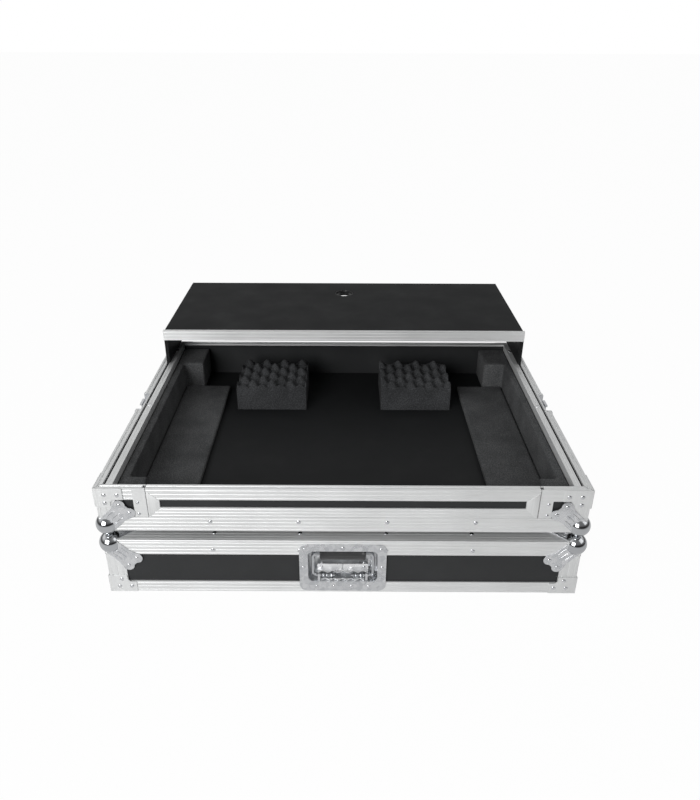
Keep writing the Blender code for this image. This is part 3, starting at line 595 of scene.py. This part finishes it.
def add_plate(mesh: BMesh, outline: list[Vector], lift: Vector, bevel: float) -> None:
    """Adds a flat plate with rounded outer edges.

    Args:
        mesh: The mesh that gets the plate.
        outline: The plate's outer face, as points in order.
        lift: From the outer face to the inner one.
        bevel: The width of the rounding round the outer face.
    """
    outer = [mesh.verts.new(point) for point in outline]
    inner = [mesh.verts.new(point + lift) for point in outline]
    face = mesh.faces.new(outer)
    made = [face, mesh.faces.new(inner[::-1])]
    for i in range(len(outline)):
        j = (i + 1) % len(outline)
        made.append(mesh.faces.new((outer[j], outer[i], inner[i], inner[j])))
    bmesh.ops.recalc_face_normals(mesh, faces=made)
    bmesh.ops.bevel(mesh, geom=list(face.edges), offset=bevel, segments=2, profile=0.5, affect="EDGES")


def arc(centre: Point, radius: float, start: float, end: float, steps: int) -> list[Point]:
    """Returns points along an arc, from one angle to another in degrees."""
    angles = [radians(start + (end - start) * i / steps) for i in range(steps + 1)]
    return [(centre[0] + radius * cos(angle), centre[1] + radius * sin(angle)) for angle in angles]


def rounded(low: Point, high: Point, radius: float, steps: int = 6) -> list[Point]:
    """Returns the outline of a rectangle with round corners."""
    spots = [(high[0] - radius, low[1] + radius, -90), (high[0] - radius, high[1] - radius, 0),
             (low[0] + radius, high[1] - radius, 90), (low[0] + radius, low[1] + radius, 180)]
    return [point for x, y, start in spots for point in arc((x, y), radius, start, start + 90, steps)]


class Level(Enum):
    """The two boxes whose corners are alike: the lid's top corners and the tray's bottom ones."""

    LID = "lid"
    TRAY = "tray"


@dataclass(frozen=True)
class Corner:
    """One corner of the lid or the tray, with its own frame whose axes lead inwards."""

    level: Level
    side: int    # -1 left, 1 right
    end: int     # -1 front, 1 rear

    @property
    def name(self) -> str:
        """The corner's name, as the frame's nodes spell it."""
        return f"{'rear' if self.end > 0 else 'front'}_{'right' if self.side > 0 else 'left'}"

    def place(self, shell: Shell) -> Matrix:
        """Returns the matrix from the corner's frame to the row frame."""
        z, up = (shell.lid_top, 1) if self.level is Level.LID else (shell.tray_base, -1)
        spot = (self.side * shell.side, shell.middle + self.end * shell.half_depth, z)
        return Matrix.Translation(spot) @ Matrix.Diagonal((-self.side, -self.end, -up, 1))


@dataclass
class BallCorners:
    """The chromed ball corners: a ball over each corner with three stamped petals on its faces."""

    shell: Shell
    finishes: FinishSet
    radius: float = 0.018
    sides: int = 56
    inset: float = 0.0091
    petal_width: float = 0.029
    neck: float = 0.045
    reach: float = 0.060
    lobe_radius: float = 0.0093
    lobe_spread: float = 0.0206
    lobe_arc: tuple[float, float, int] = (110, -50, 14)    # from, to, and in how many steps
    bevel: float = 0.0004
    rib: Triple = (0.0105, 0.0016, 0.0007)
    rib_sink: float = 0.2                                  # for its height
    rib_places: tuple[Point, ...] = ((0.038, 0.0), (0.0355, 0.0085), (0.0355, -0.0085))
    rivet_radius: float = 0.0036
    rivet_height: float = 0.0014

    def petal(self) -> list[Point]:
        """Draws a petal along its face's diagonal, with two lobes at its end.

        Returns:
            The petal's outline.
        """
        lobe = arc((self.reach, self.lobe_spread / 2), self.lobe_radius, *self.lobe_arc)
        edge = [(self.neck, self.petal_width / 2)] + lobe
        whole = edge + [(along, -across) for along, across in reversed(edge)]
        foot = self.petal_width / sqrt(2) - PROUD
        points = [((along + across) / sqrt(2), (along - across) / sqrt(2)) for along, across in whole]
        return [(-PROUD, -PROUD), (foot, -PROUD)] + points + [(-PROUD, foot)]

    def ball(self) -> BMesh:
        """Makes the ball in the corner's frame, hollowed where the case's corner fills it.

        Returns:
            The ball's mesh.
        """
        sphere, block = bmesh.new(), bmesh.new()
        diagonal = Vector((1, 1, 1))
        bmesh.ops.create_uvsphere(sphere, u_segments=self.sides, v_segments=self.sides // 2,
                                  radius=self.radius, matrix=Matrix.Translation(diagonal * self.inset))
        size = 3 * self.radius
        bmesh.ops.create_cube(block, size=size, matrix=Matrix.Translation(diagonal * (size / 2 - GAP)))
        ball, cutter = link("ball", to_data("ball", sphere)), link("cutter", to_data("cutter", block))
        add_modifier(ball, "BOOLEAN", operation="DIFFERENCE", object=cutter)
        hollow = applied(ball)
        bpy.data.objects.remove(cutter)
        return hollow

    def faces(self) -> list[Matrix]:
        """Returns, for each of the corner's faces, the turn that lays a flat drawing on it."""
        return [Matrix.Rotation(2 * pi * turn / 3, 4, Vector((1, 1, 1))) for turn in (1, 2, 3)]

    def foot(self, along: float, across: float) -> Matrix:
        """Returns the placement of a fitting on a petal's outer face, at a place along its diagonal."""
        spot = Vector(((along + across) / sqrt(2), (along - across) / sqrt(2), -PROUD))
        return Matrix.Translation(spot) @ Matrix.Diagonal((1, 1, -1, 1))

    def petals(self) -> BMesh:
        """Makes the three petals in the corner's frame, with stamped ribs.

        Returns:
            The petals' mesh.
        """
        mesh = bmesh.new()
        for turn in self.faces():
            outline = [turn @ Vector((u, v, -PROUD)) for u, v in self.petal()]
            add_plate(mesh, outline, turn.to_3x3() @ Vector((0, 0, PROUD - GAP)), self.bevel)
            for along, across in self.rib_places:
                lean = Matrix.Rotation(pi / 4, 4, "Z") @ Matrix.Diagonal((*self.rib, 1))
                add_dome(mesh, turn @ self.foot(along, across) @ lean, 1.0, 1.0, self.rib_sink)
        return mesh

    def rivets(self) -> BMesh:
        """Makes the rivets in the petals' lobes, in the corner's frame.

        Returns:
            The rivets' mesh.
        """
        mesh = bmesh.new()
        for turn in self.faces():
            for across in (self.lobe_spread / 2, -self.lobe_spread / 2):
                add_dome(mesh, turn @ self.foot(self.reach, across), self.rivet_radius, self.rivet_height)
        return mesh

    def build(self) -> None:
        """Puts a ball, its petals and its rivets on each corner."""
        finishes = self.finishes
        shapes = (("ball", self.ball(), finishes.chrome), ("petals", self.petals(), finishes.stamping),
                  ("petal_rivets", self.rivets(), finishes.rivet))
        for corner in (Corner(*choice) for choice in product(Level, (-1, 1), (-1, 1))):
            level = corner.level.value
            for kind, shape, finish in shapes:
                mesh = shape.copy()
                bmesh.ops.transform(mesh, matrix=corner.place(self.shell), verts=mesh.verts)
                bmesh.ops.recalc_face_normals(mesh, faces=mesh.faces)
                piece = add_piece(f"{level}_{kind}_{corner.name}", mesh, level, finish)
                if kind != "petal_rivets":
                    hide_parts(f"{level}_ball_corner_{corner.name}")


@dataclass
class Rivets:
    """The rivets and screws in the extrusions, braces, channels, rails and latches."""

    shell: Shell
    finishes: FinishSet
    pitch: float = 0.1378
    margin: float = 0.07
    radius: float = 0.0036
    height: float = 0.0014
    leg_place: float = 0.0200
    side_place: float = 0.0185
    # How far each of a brace's rivets lies along and from the rim: two in its arm, one in its leg.
    brace_arm: tuple[Point, ...] = ((0.0150, 0.0120), (0.0350, 0.0120))
    lid_brace_leg: Point = (0.0200, 0.0270)
    tray_brace_leg: Point = (0.0145, 0.0265)
    channel_across: float = 0.3155
    channel_drops: Point = (0.0265, 0.0475)
    channel_radius: float = 0.0028
    screw_places: Point = (0.148, -0.107)
    screw_radius: float = 0.0040
    dish_margin: float = 0.0042
    dish_radius: float = 0.0026

    def edge_places(self, face: float, up: float) -> list[Place]:
        """Lists the rivets on both legs of an edge extrusion round the case.

        Args:
            face: The height of the extrusion's flat face.
            up: 1 for the lid's top, -1 for the tray's underside.

        Returns:
            Each rivet's foot and the way that it looks.
        """
        places = []
        for foot, along, out, half in self.shell.sides():
            count = int((half - self.margin) / self.pitch + 0.5)
            for i in range(-count, count):
                spot = foot + along * (i + 0.5) * self.pitch + UP * face
                places += [(spot - UP * up * self.side_place, out), (spot - out * self.leg_place, UP * up)]
        return places

    def brace_places(self, rim: float, inward: float, leg: Point) -> list[Place]:
        """Lists the rivets in the flat braces at a rim's four corners.

        Args:
            rim: The rim's height.
            inward: 1 where the case lies above the rim, -1 where it lies below.
            leg: Where the leg's rivet lies along and from the rim.

        Returns:
            Each rivet's foot and the way that it looks.
        """
        return [(foot + along * end * (half - beside) + out * PROUD + UP * (rim + inward * down), out)
                for foot, along, out, half in self.shell.sides()
                for end in (-1, 1) for beside, down in (*self.brace_arm, leg)]

    def channel_places(self) -> list[Place]:
        """Returns two rivets on the face of each channel beside the removable front panel."""
        return [(Vector((side * self.channel_across, self.shell.front, self.shell.tray_rim - drop)), FORWARD)
                for side in (-1, 1) for drop in self.channel_drops]

    def rail_places(self) -> list[Place]:
        """Returns the screws in the top of the rails that cap the shelf's slots."""
        rails = [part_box(f"glide_rail_{side}") for side in ("left", "right")]
        return [(Vector(((low.x + high.x) / 2, y, high.z)), UP) for low, high in rails
                for y in self.screw_places]

    def dish_places(self, kind: str) -> list[Place]:
        """Returns a rivet in each corner of the flanges of a kind of dish in the case's sides."""
        dishes = [(out, *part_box(f"{kind}_{side}")) for side, out in (("left", -1), ("right", 1))]
        return [(Vector((out * (self.shell.side + PROUD), y, z)), Vector((out, 0, 0)))
                for out, low, high in dishes
                for y in (low.y + self.dish_margin, high.y - self.dish_margin)
                for z in (low.z + self.dish_margin, high.z - self.dish_margin)]

    def fix(self, name: str, body: str, places: list[Place], radius: float | None = None) -> None:
        """Makes one piece of all the rivets in a list.

        Args:
            name: The piece's name.
            body: The body that it rides on.
            places: Each rivet's foot and the way that it looks.
            radius: The rivets' radius, or None for the usual one.
        """
        mesh = bmesh.new()
        for point, normal in places:
            add_dome(mesh, seat(point, normal), radius or self.radius, self.height)
        add_piece(name, mesh, body, self.finishes.rivet)

    def build(self) -> None:
        """Fixes all of them but the handle's."""
        shell = self.shell
        self.fix("lid_edge_rivets", "lid", self.edge_places(shell.lid_top, 1))
        self.fix("tray_edge_rivets", "tray", self.edge_places(shell.tray_base, -1))
        self.fix("lid_brace_rivets", "lid", self.brace_places(shell.lid_rim, 1, self.lid_brace_leg))
        self.fix("tray_brace_rivets", "tray", self.brace_places(shell.tray_rim, -1, self.tray_brace_leg))
        self.fix("panel_slot_rivets", "tray", self.channel_places(), self.channel_radius)
        self.fix("rail_screws", "tray", self.rail_places(), self.screw_radius)
        self.fix("latch_dish_rivets", "tray", self.dish_places("latch_dish"), self.dish_radius)
        self.fix("lid_strike_dish_rivets", "lid", self.dish_places("lid_strike_dish"), self.dish_radius)


@dataclass
class PanelEndPlates:
    """The thin plates with cut corners that cover the ends of the removable front panel."""

    shell: Shell
    finishes: FinishSet
    outline: tuple[Point, ...] = (
        (0.3004, 0.1522), (0.2985, 0.1522), (0.2816, 0.1684), (0.2816, 0.1826), (0.2985, 0.1960),
        (0.3004, 0.1960))
    metal: float = 0.0007
    seam: float = 0.0001    # between the plate and the frame under it

    def build(self) -> None:
        """Lays a plate on each end of the panel."""
        mesh = bmesh.new()
        front = self.shell.front - self.metal
        for side in (-1, 1):
            points = [Vector((side * x, front, z)) for x, z in self.outline]
            add_plate(mesh, points, -FORWARD * (self.metal - self.seam), GAP)
        add_piece("panel_end_plates", mesh, "front_panel", self.finishes.aluminium(Run.UPRIGHT))


@dataclass
class Handle:
    """The sprung handle: rubber grip, bracket plate and the rivets round the dish."""

    shell: Shell
    finishes: FinishSet
    rivets: Rivets
    flange_rivets: tuple[Point, ...] = (
        (0.0, 0.0925), (-0.061, 0.0895), (0.061, 0.0895), (-0.0635, 0.0530), (0.0635, 0.0530),
        (-0.0425, 0.0135), (-0.0142, 0.0135), (0.0142, 0.0135), (0.0425, 0.0135))
    flange_rivet_radius: float = 0.0030
    plate_low: Point = (-0.0415, 0.0405)
    plate_high: Point = (0.0415, 0.0518)
    plate_face: float = 0.0085
    plate_metal: float = 0.0012
    plate_slit: float = 0.0008
    plate_round: float = 0.0016
    plate_rivets: tuple[Point, ...] = ((-0.0345, 0.0462), (0.0345, 0.0462))
    plate_rivet_radius: float = 0.0024
    # Each lip's height above the ground, how deep its inner and outer edges lie, and half its length.
    upper_lip: tuple[float, float, float, float] = (0.0400, 0.0085, 0.0035, 0.0410)
    lower_lip: tuple[float, float, float, float] = (0.0260, 0.0028, 0.0006, 0.0350)
    # A lip's rolled edge: how far behind its tip and how high, in thicknesses of its metal.
    lip_roll: tuple[Point, ...] = ((0.5, 0.5), (0.0, 0.2), (0.0, -0.2), (0.5, -0.5))
    lip_metal: float = 0.0018
    lip_steps: int = 80
    scallops: int = 5
    wave: float = 0.0009
    flutes: int = 18
    flute: float = 0.0005
    waist: float = 0.0005
    swell: float = 0.0010
    shoulder: float = 0.0022
    grip_steps: int = 40
    grip_sides: int = 72

    def grip(self) -> None:
        """Makes the grip: a sleeve with round shoulders, a slight waist and moulded flutes."""
        low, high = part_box("handle_grip")
        bail_low, bail_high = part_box("handle_bail")
        centre = (low + high) / 2
        half = (high.x - low.x) / 2
        radius = (high.z - low.z) / 2 + self.swell
        bore = (bail_high.y - bail_low.y) / 2 + GAP
        sections = [(-half, bore)]
        for i in range(self.grip_steps + 1):
            along = -half + 2 * half * i / self.grip_steps
            end = min(half - abs(along), self.shoulder)
            inset = self.shoulder - sqrt(max(0.0, self.shoulder ** 2 - (self.shoulder - end) ** 2))
            sections.append((along, radius - inset - self.waist * cos(pi * along / (2 * half))))
        sections.append((half, bore))
        turns = [2 * pi * j / self.grip_sides for j in range(self.grip_sides)]
        rings = []
        for along, size in sections:
            flute = self.flute if abs(along) <= half - 2 * self.shoulder else 0.0
            sizes = [size + flute * (cos(self.flutes * turn) - 1) / 2 for turn in turns]
            rings.append([centre + Vector((along, size * sin(turn), size * cos(turn)))
                          for size, turn in zip(sizes, turns)])
        mesh = bmesh.new()
        loft(mesh, rings, closed=True)
        piece = add_piece("handle_grip_sleeve", mesh, "handle", self.finishes.rubber)
        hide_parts("handle_grip")

    def bracket(self) -> None:
        """Makes the two plates that hold the spring's arms, on spacers that stand on the dish's floor."""
        front = self.shell.front + self.plate_face
        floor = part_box("handle_dish")[1].y - self.plate_metal
        slit = self.plate_slit / 2
        mesh = bmesh.new()
        for low_x, high_x in ((self.plate_low[0], -slit), (slit, self.plate_high[0])):
            outline = rounded((low_x, self.plate_low[1]), (high_x, self.plate_high[1]), self.plate_round)
            add_plate(mesh, [Vector((x, front, z)) for x, z in outline], -FORWARD * self.plate_metal, GAP)
        for x, z in self.plate_rivets:
            add_dome(mesh, seat(Vector((x, floor - GAP, z)), FORWARD), self.plate_rivet_radius,
                     floor - front - self.plate_metal)
        # the bracket takes the paler plated finish, whose brightness is partly a painted highlight
        add_piece("handle_bracket", mesh, "lid", self.finishes.bracket)
        places = [(Vector((x, front, z)), FORWARD) for x, z in self.plate_rivets]
        self.rivets.fix("handle_bracket_rivets", "lid", places, self.plate_rivet_radius)

    def lip(self, name: str, height: float, root: float, tip: float, half: float) -> None:
        """Makes a rolled lip with a scalloped edge, which shows as a wavy bright line.

        Args:
            name: The piece's name.
            height: The lip's height above the ground.
            root: How deep its inner edge lies behind the case's front.
            tip: How deep its outer edge lies.
            half: Half of its length.
        """
        metal = self.lip_metal
        roll = [(tip + metal * back, share) for back, share in self.lip_roll]
        rings = []
        for step in range(self.lip_steps + 1):
            along = -half + 2 * half * step / self.lip_steps
            swing = self.wave * cos(pi * self.scallops * along / half)
            edge = [(deep + swing, metal * share + swing) for deep, share in roll]
            section = [(root, metal / 2), *edge, (root, -metal / 2)]
            rings.append([Vector((along, self.shell.front + deep, height + rise)) for deep, rise in section])
        mesh = bmesh.new()
        loft(mesh, rings)
        # the lips take the bracket's paler finish, a painted highlight that helps them show as bright lines
        add_piece(name, mesh, "lid", self.finishes.bracket)

    def build(self) -> None:
        """Makes the handle's pieces."""
        self.grip()
        self.bracket()
        self.lip("handle_upper_lip", *self.upper_lip)
        self.lip("handle_lower_lip", *self.lower_lip)
        places = [(Vector((x, self.shell.front - PROUD, z)), FORWARD) for x, z in self.flange_rivets]
        self.rivets.fix("handle_dish_rivets", "lid", places, self.flange_rivet_radius)


@dataclass
class CableSleeve:
    """The black sleeve that guards the cables in the shelf's hole."""

    finishes: FinishSet
    setback: float = 0.072
    radius: float = 0.0206
    wall: float = 0.0013
    height: float = 0.0124
    rounding: float = 0.0006
    rounding_steps: int = 3
    segments: int = 64

    def build(self) -> None:
        """Turns the sleeve's rounded section round the hole's axis."""
        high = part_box("shelf_board")[1]
        centre = Vector((0, high.y - self.setback, high.z - GAP))
        section = rounded((self.radius - self.wall, -self.height), (self.radius, 0), self.rounding,
                          self.rounding_steps)
        turns = [2 * pi * step / self.segments for step in range(self.segments)]
        mesh = bmesh.new()
        loft(mesh, [[centre + Vector((r * cos(turn), r * sin(turn), z)) for r, z in section]
                    for turn in turns], closed=True)
        add_piece("shelf_cable_sleeve", mesh, "shelf", self.finishes.rubber)


@dataclass
class FoamFittings:
    """The case's foam: linings, support pads, the lid's sheet and two egg-crate blocks."""

    finishes: FinishSet
    weld: float = 0.00001
    voxel: float = 0.0030
    sheet_voxel: float = 0.0055
    soften: float = 0.5
    soften_rounds: int = 3
    swell: float = 0.0008
    swell_scale: float = 0.045
    swell_middle: float = 1.0    # the waves only sink in, so the block stays within its node
    lining_fill: float = 0.9
    pad_fill: float = 0.8
    crate_fill: float = 0.9
    sheet_fill: float = 0.7
    # Each side's block: how far a bump lies beside its middle, and its first row before its front.
    crates: tuple[tuple[str, float, float], ...] = (("left", 0.019, 0.005), ("right", 0.009, 0.0068))
    crate_pitch: float = 0.038
    crate_row_pitch: float = 0.0405
    crate_bump: float = 0.019
    crate_step: float = 0.0019

    def cut_block(self, node: str, body: str, voxel: float) -> None:
        """Replaces a foam node by the same block with soft, slightly wavy faces.

        Args:
            node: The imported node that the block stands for.
            body: The body that it lies on.
            voxel: The size of the block's mesh, which also rounds its edges.
        """
        block = link("block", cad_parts[node].data.copy())
        clouds = bpy.data.textures.new("foam_waves", "CLOUDS")
        clouds.noise_scale = self.swell_scale
        add_modifier(block, "WELD", merge_threshold=self.weld)
        add_modifier(block, "REMESH", mode="VOXEL", voxel_size=voxel)
        add_modifier(block, "SMOOTH", factor=self.soften, iterations=self.soften_rounds)
        add_modifier(block, "DISPLACE", texture=clouds, strength=self.swell, mid_level=self.swell_middle)
        piece = add_piece(f"{node}_cut", applied(block), body, self.finishes.foam)
        bpy.data.textures.remove(clouds)
        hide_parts(node)

    def crate(self, node: str, shift: float, lead: float) -> None:
        """Makes an egg-crate block: a slab whose top is a staggered field of round bumps.

        Args:
            node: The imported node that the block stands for.
            shift: How far a bump lies beside the block's middle.
            lead: How far the first row's tops lie before the block's front.
        """
        low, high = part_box(node)
        columns, rows = (round(size / self.crate_step) for size in (high - low).xy)
        middle = (low.x + high.x) / 2
        rings = []
        for j in range(rows + 1):
            y = low.y + (high.y - low.y) * j / rows
            deep = cos(2 * pi * (y - low.y + lead) / self.crate_row_pitch)
            top = []
            for i in range(columns + 1):
                x = low.x + (high.x - low.x) * i / columns
                along = cos(2 * pi * (x - middle - shift) / self.crate_pitch)
                top.append(Vector((x, y, high.z - self.crate_bump * (1 - along * deep) / 2 - GAP)))
            rings.append([Vector((low.x, y, low.z)), *top, Vector((high.x, y, low.z))])
        mesh = bmesh.new()
        loft(mesh, rings)
        piece = add_piece(f"{node}_cut", mesh, "tray", self.finishes.crate_foam)
        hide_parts(node)

    def build(self) -> None:
        """Makes all of the foam."""
        for side, shift, lead in self.crates:
            self.cut_block(f"side_foam_{side}", "tray", self.voxel)
            self.cut_block(f"side_pad_{side}", "tray", self.voxel)
            self.crate(f"egg_crate_{side}", shift, lead)
        self.cut_block("lid_foam_lining", "lid", self.sheet_voxel)


@dataclass
class FrameDressing:
    """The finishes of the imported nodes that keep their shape."""

    finishes: FinishSet

    def groups(self) -> tuple[tuple[Finish, tuple[str, ...]], ...]:
        """Returns the finishes with how the names of their nodes start; the first that fits holds."""
        made = self.finishes
        return (
            (made.aluminium(Run.FRAME), ("lid_top_edge_frame", "lid_rim_frame", "tray_bottom_edge_frame",
                                         "tray_rim_frame")),
            (made.aluminium(Run.ACROSS), ("front_panel_frame",)),
            (made.aluminium(Run.DEPTH), ("glide_rail",)),
            (made.aluminium(Run.UPRIGHT), ("lid_corner_edge", "tray_corner_edge")),
            # the shelf's profile takes the paler copy of the aluminium, which is painted light
            (made.brightened_shelf_aluminium, ("shelf_front_profile",)),
            (made.pressing, ("handle_dish", "latch", "lid_strike_dish")),
            (made.chrome, ("handle_bail",)),
            (made.zinc, ("handle_spring",)),
            (made.rubber, ("handle_grip",)),
            (made.foam, ("side_", "egg_")),
            # the shelf and the tray's floor take the darker laminate, whose darkness is painted shade
            (made.shade_darkened_laminate, ("tray_floor", "shelf_")),
            (made.laminate, ("lid_", "tray_", "glide_wall", "front_panel_board")))

    def build(self) -> None:
        """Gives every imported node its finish."""
        groups = self.groups()
        for name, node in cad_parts.items():
            finish = next(finish for finish, starts in groups if name.startswith(starts))
            node.data.materials.clear()
            node.data.materials.append(finish.material())
            log.info("%s has %s", name, finish.name)


@dataclass
class Studio:
    """The white studio: floor, lamps, surroundings and the camera."""

    camera_place: Triple = (0.0009, -1.2717, 0.8232)
    pitch: float = 27.37
    yaw: float = 0.18
    roll: float = 0.16
    lens: float = 32.02
    sensor: float = 36.0
    shift: Point = (0.0099, -0.0025)
    floor_size: float = 60.0
    floor_drop: float = 0.0004
    white: str = "#ffffff"
    paper: str = "#f4f4f4"
    floor_glow: float = 0.975    # how far the floor's own white covers its paper
    # What the floor shows in reflections: less with the distance, and a little less to the right.
    floor_ramps: tuple[Ramp, ...] = (("Distance", 0.9, 2.2, 0.72, 0.12), ("X", -0.45, 0.45, 1.0, 0.9))
    # The room: dark towards the ground, behind the camera and overhead, lighter to the left, and
    # dimmer as light than as a reflection.
    room_ramps: tuple[Ramp, ...] = (
        ("Z", 0.15, 0.5, 0.12, 1.0), ("Y", -0.75, -0.1, 0.3, 1.0), ("Z", 0.6, 0.95, 1.0, 0.4),
        ("X", -0.3, 0.06, 1.0, 0.78), ("Is Diffuse Ray", 0.0, 1.0, 1.0, 0.3))
    # Each lamp's name, place, width and power.
    lamps: tuple[tuple[str, Triple, float, float], ...] = (
        ("key", (-1.2, -2.4, 1.15), 1.5, 54.0), ("fill", (1.8, -0.9, 1.5), 1.4, 5.0),
        ("top", (0.0, 0.5, 2.4), 1.8, 4.0))
    lamp_aim: Triple = (0.0, -0.05, 0.1)

    def camera(self) -> None:
        """Makes the camera at the photograph's place and angle."""
        data = bpy.data.cameras.new("camera")
        data.lens = self.lens
        data.sensor_width = self.sensor
        data.shift_x, data.shift_y = self.shift
        camera = link("camera", data)
        camera.matrix_world = (Matrix.Translation(self.camera_place)
                               @ Matrix.Rotation(radians(self.yaw), 4, "Z")
                               @ Matrix.Rotation(radians(90 - self.pitch), 4, "X")
                               @ Matrix.Rotation(radians(self.roll), 4, "Z"))
        bpy.context.scene.camera = camera

    def shaded(self, tree: Tree, sources: dict[str, Wire], ramps: tuple[Ramp, ...]) -> Wire:
        """Multiplies ramps.

        Args:
            tree: The node tree that gets them.
            sources: What the ramps follow, by name.
            ramps: The ramps.

        Returns:
            Their product.
        """
        level = None
        for source, low, high, start, end in ramps:
            ramp = add_node(tree, "MapRange", {
                "Value": sources[source], "From Min": low, "From Max": high, "To Min": start, "To Max": end})
            level = ramp if level is None else add_node(
                tree, "Math", {0: level, 1: ramp}, operation="MULTIPLY")
        return level

    def floor(self) -> None:
        """Makes the white floor, which reads as the white background and keeps a soft shadow."""
        mesh = bmesh.new()
        bmesh.ops.create_grid(mesh, x_segments=1, y_segments=1, size=self.floor_size / 2)
        floor = link("floor", to_data("floor", mesh))
        floor.location.z = -self.floor_drop
        material = bpy.data.materials.new("white_studio_floor")
        material.use_nodes = True
        tree = material.node_tree
        tree.nodes.clear()
        place = add_node(tree, "TexCoord").outputs["Object"]
        path = add_node(tree, "LightPath").outputs
        parts = add_node(tree, "SeparateXYZ", {"Vector": place})
        reach = add_node(tree, "VectorMath", {0: place}, operation="LENGTH")
        sources = {"Distance": reach.outputs["Value"], "X": parts.outputs["X"]}
        level = add_node(tree, "Math", {
            0: self.shaded(tree, sources, self.floor_ramps), 1: path["Is Camera Ray"]}, operation="MAXIMUM")
        paper = add_node(tree, "BsdfDiffuse", {"Color": linear(self.paper)})
        glow = add_node(tree, "Emission", {"Color": linear(self.white), "Strength": level})
        seen = add_node(tree, "Math", {0: path["Is Camera Ray"], 1: path["Is Glossy Ray"]},
                        operation="MAXIMUM")
        share = add_node(tree, "Math", {0: seen, 1: self.floor_glow}, operation="MULTIPLY")
        both = add_node(tree, "MixShader", {0: share, 1: paper, 2: glow})
        add_node(tree, "OutputMaterial", {"Surface": both})
        floor.data.materials.append(material)

    def surroundings(self) -> None:
        """Makes the surroundings: white to the camera, and a soft bright room to the object."""
        world = bpy.data.worlds.new("studio")
        world.use_nodes = True
        tree = world.node_tree
        tree.nodes.clear()
        place = add_node(tree, "TexCoord").outputs["Generated"]
        direction = add_node(tree, "SeparateXYZ", {"Vector": place}).outputs
        path = add_node(tree, "LightPath").outputs
        level = self.shaded(tree, {**dict(direction.items()), **dict(path.items())}, self.room_ramps)
        clear = add_node(tree, "Math", {0: path["Is Camera Ray"], 1: path["Is Transmission Ray"]},
                         operation="MAXIMUM")
        seen = add_node(tree, "Math", {0: level, 1: clear}, operation="MAXIMUM")
        back = add_node(tree, "Background", {"Color": linear(self.white), "Strength": seen})
        add_node(tree, "OutputWorld", {"Surface": back})
        bpy.context.scene.world = world

    def build(self) -> None:
        """Sets up the camera, the floor, the surroundings and the soft lamps that look at the case."""
        self.camera()
        self.floor()
        self.surroundings()
        for name, place, width, power in self.lamps:
            data = bpy.data.lights.new(name, "AREA")
            data.size = width
            data.energy = power
            lamp = link(name, data)
            lamp.location = place
            aim = Vector(self.lamp_aim) - Vector(place)
            lamp.rotation_euler = aim.to_track_quat("-Z", "Y").to_euler()
        bpy.context.scene.view_settings.view_transform = "Standard"


def main() -> None:
    """Builds the studio and dresses the case, sub-assembly by sub-assembly."""
    logging.basicConfig(level=logging.INFO, format="%(name)s: %(message)s")
    shell = Shell.measured()
    finishes = FinishSet(shell)
    rivets = Rivets(shell, finishes)
    for part in (Studio(), FrameDressing(finishes), BallCorners(shell, finishes), rivets,
                 PanelEndPlates(shell, finishes), Handle(shell, finishes, rivets), CableSleeve(finishes),
                 FoamFittings(finishes)):
        part.build()
        log.info("%s is done", type(part).__name__)


if __name__ == "__main__":
    main()
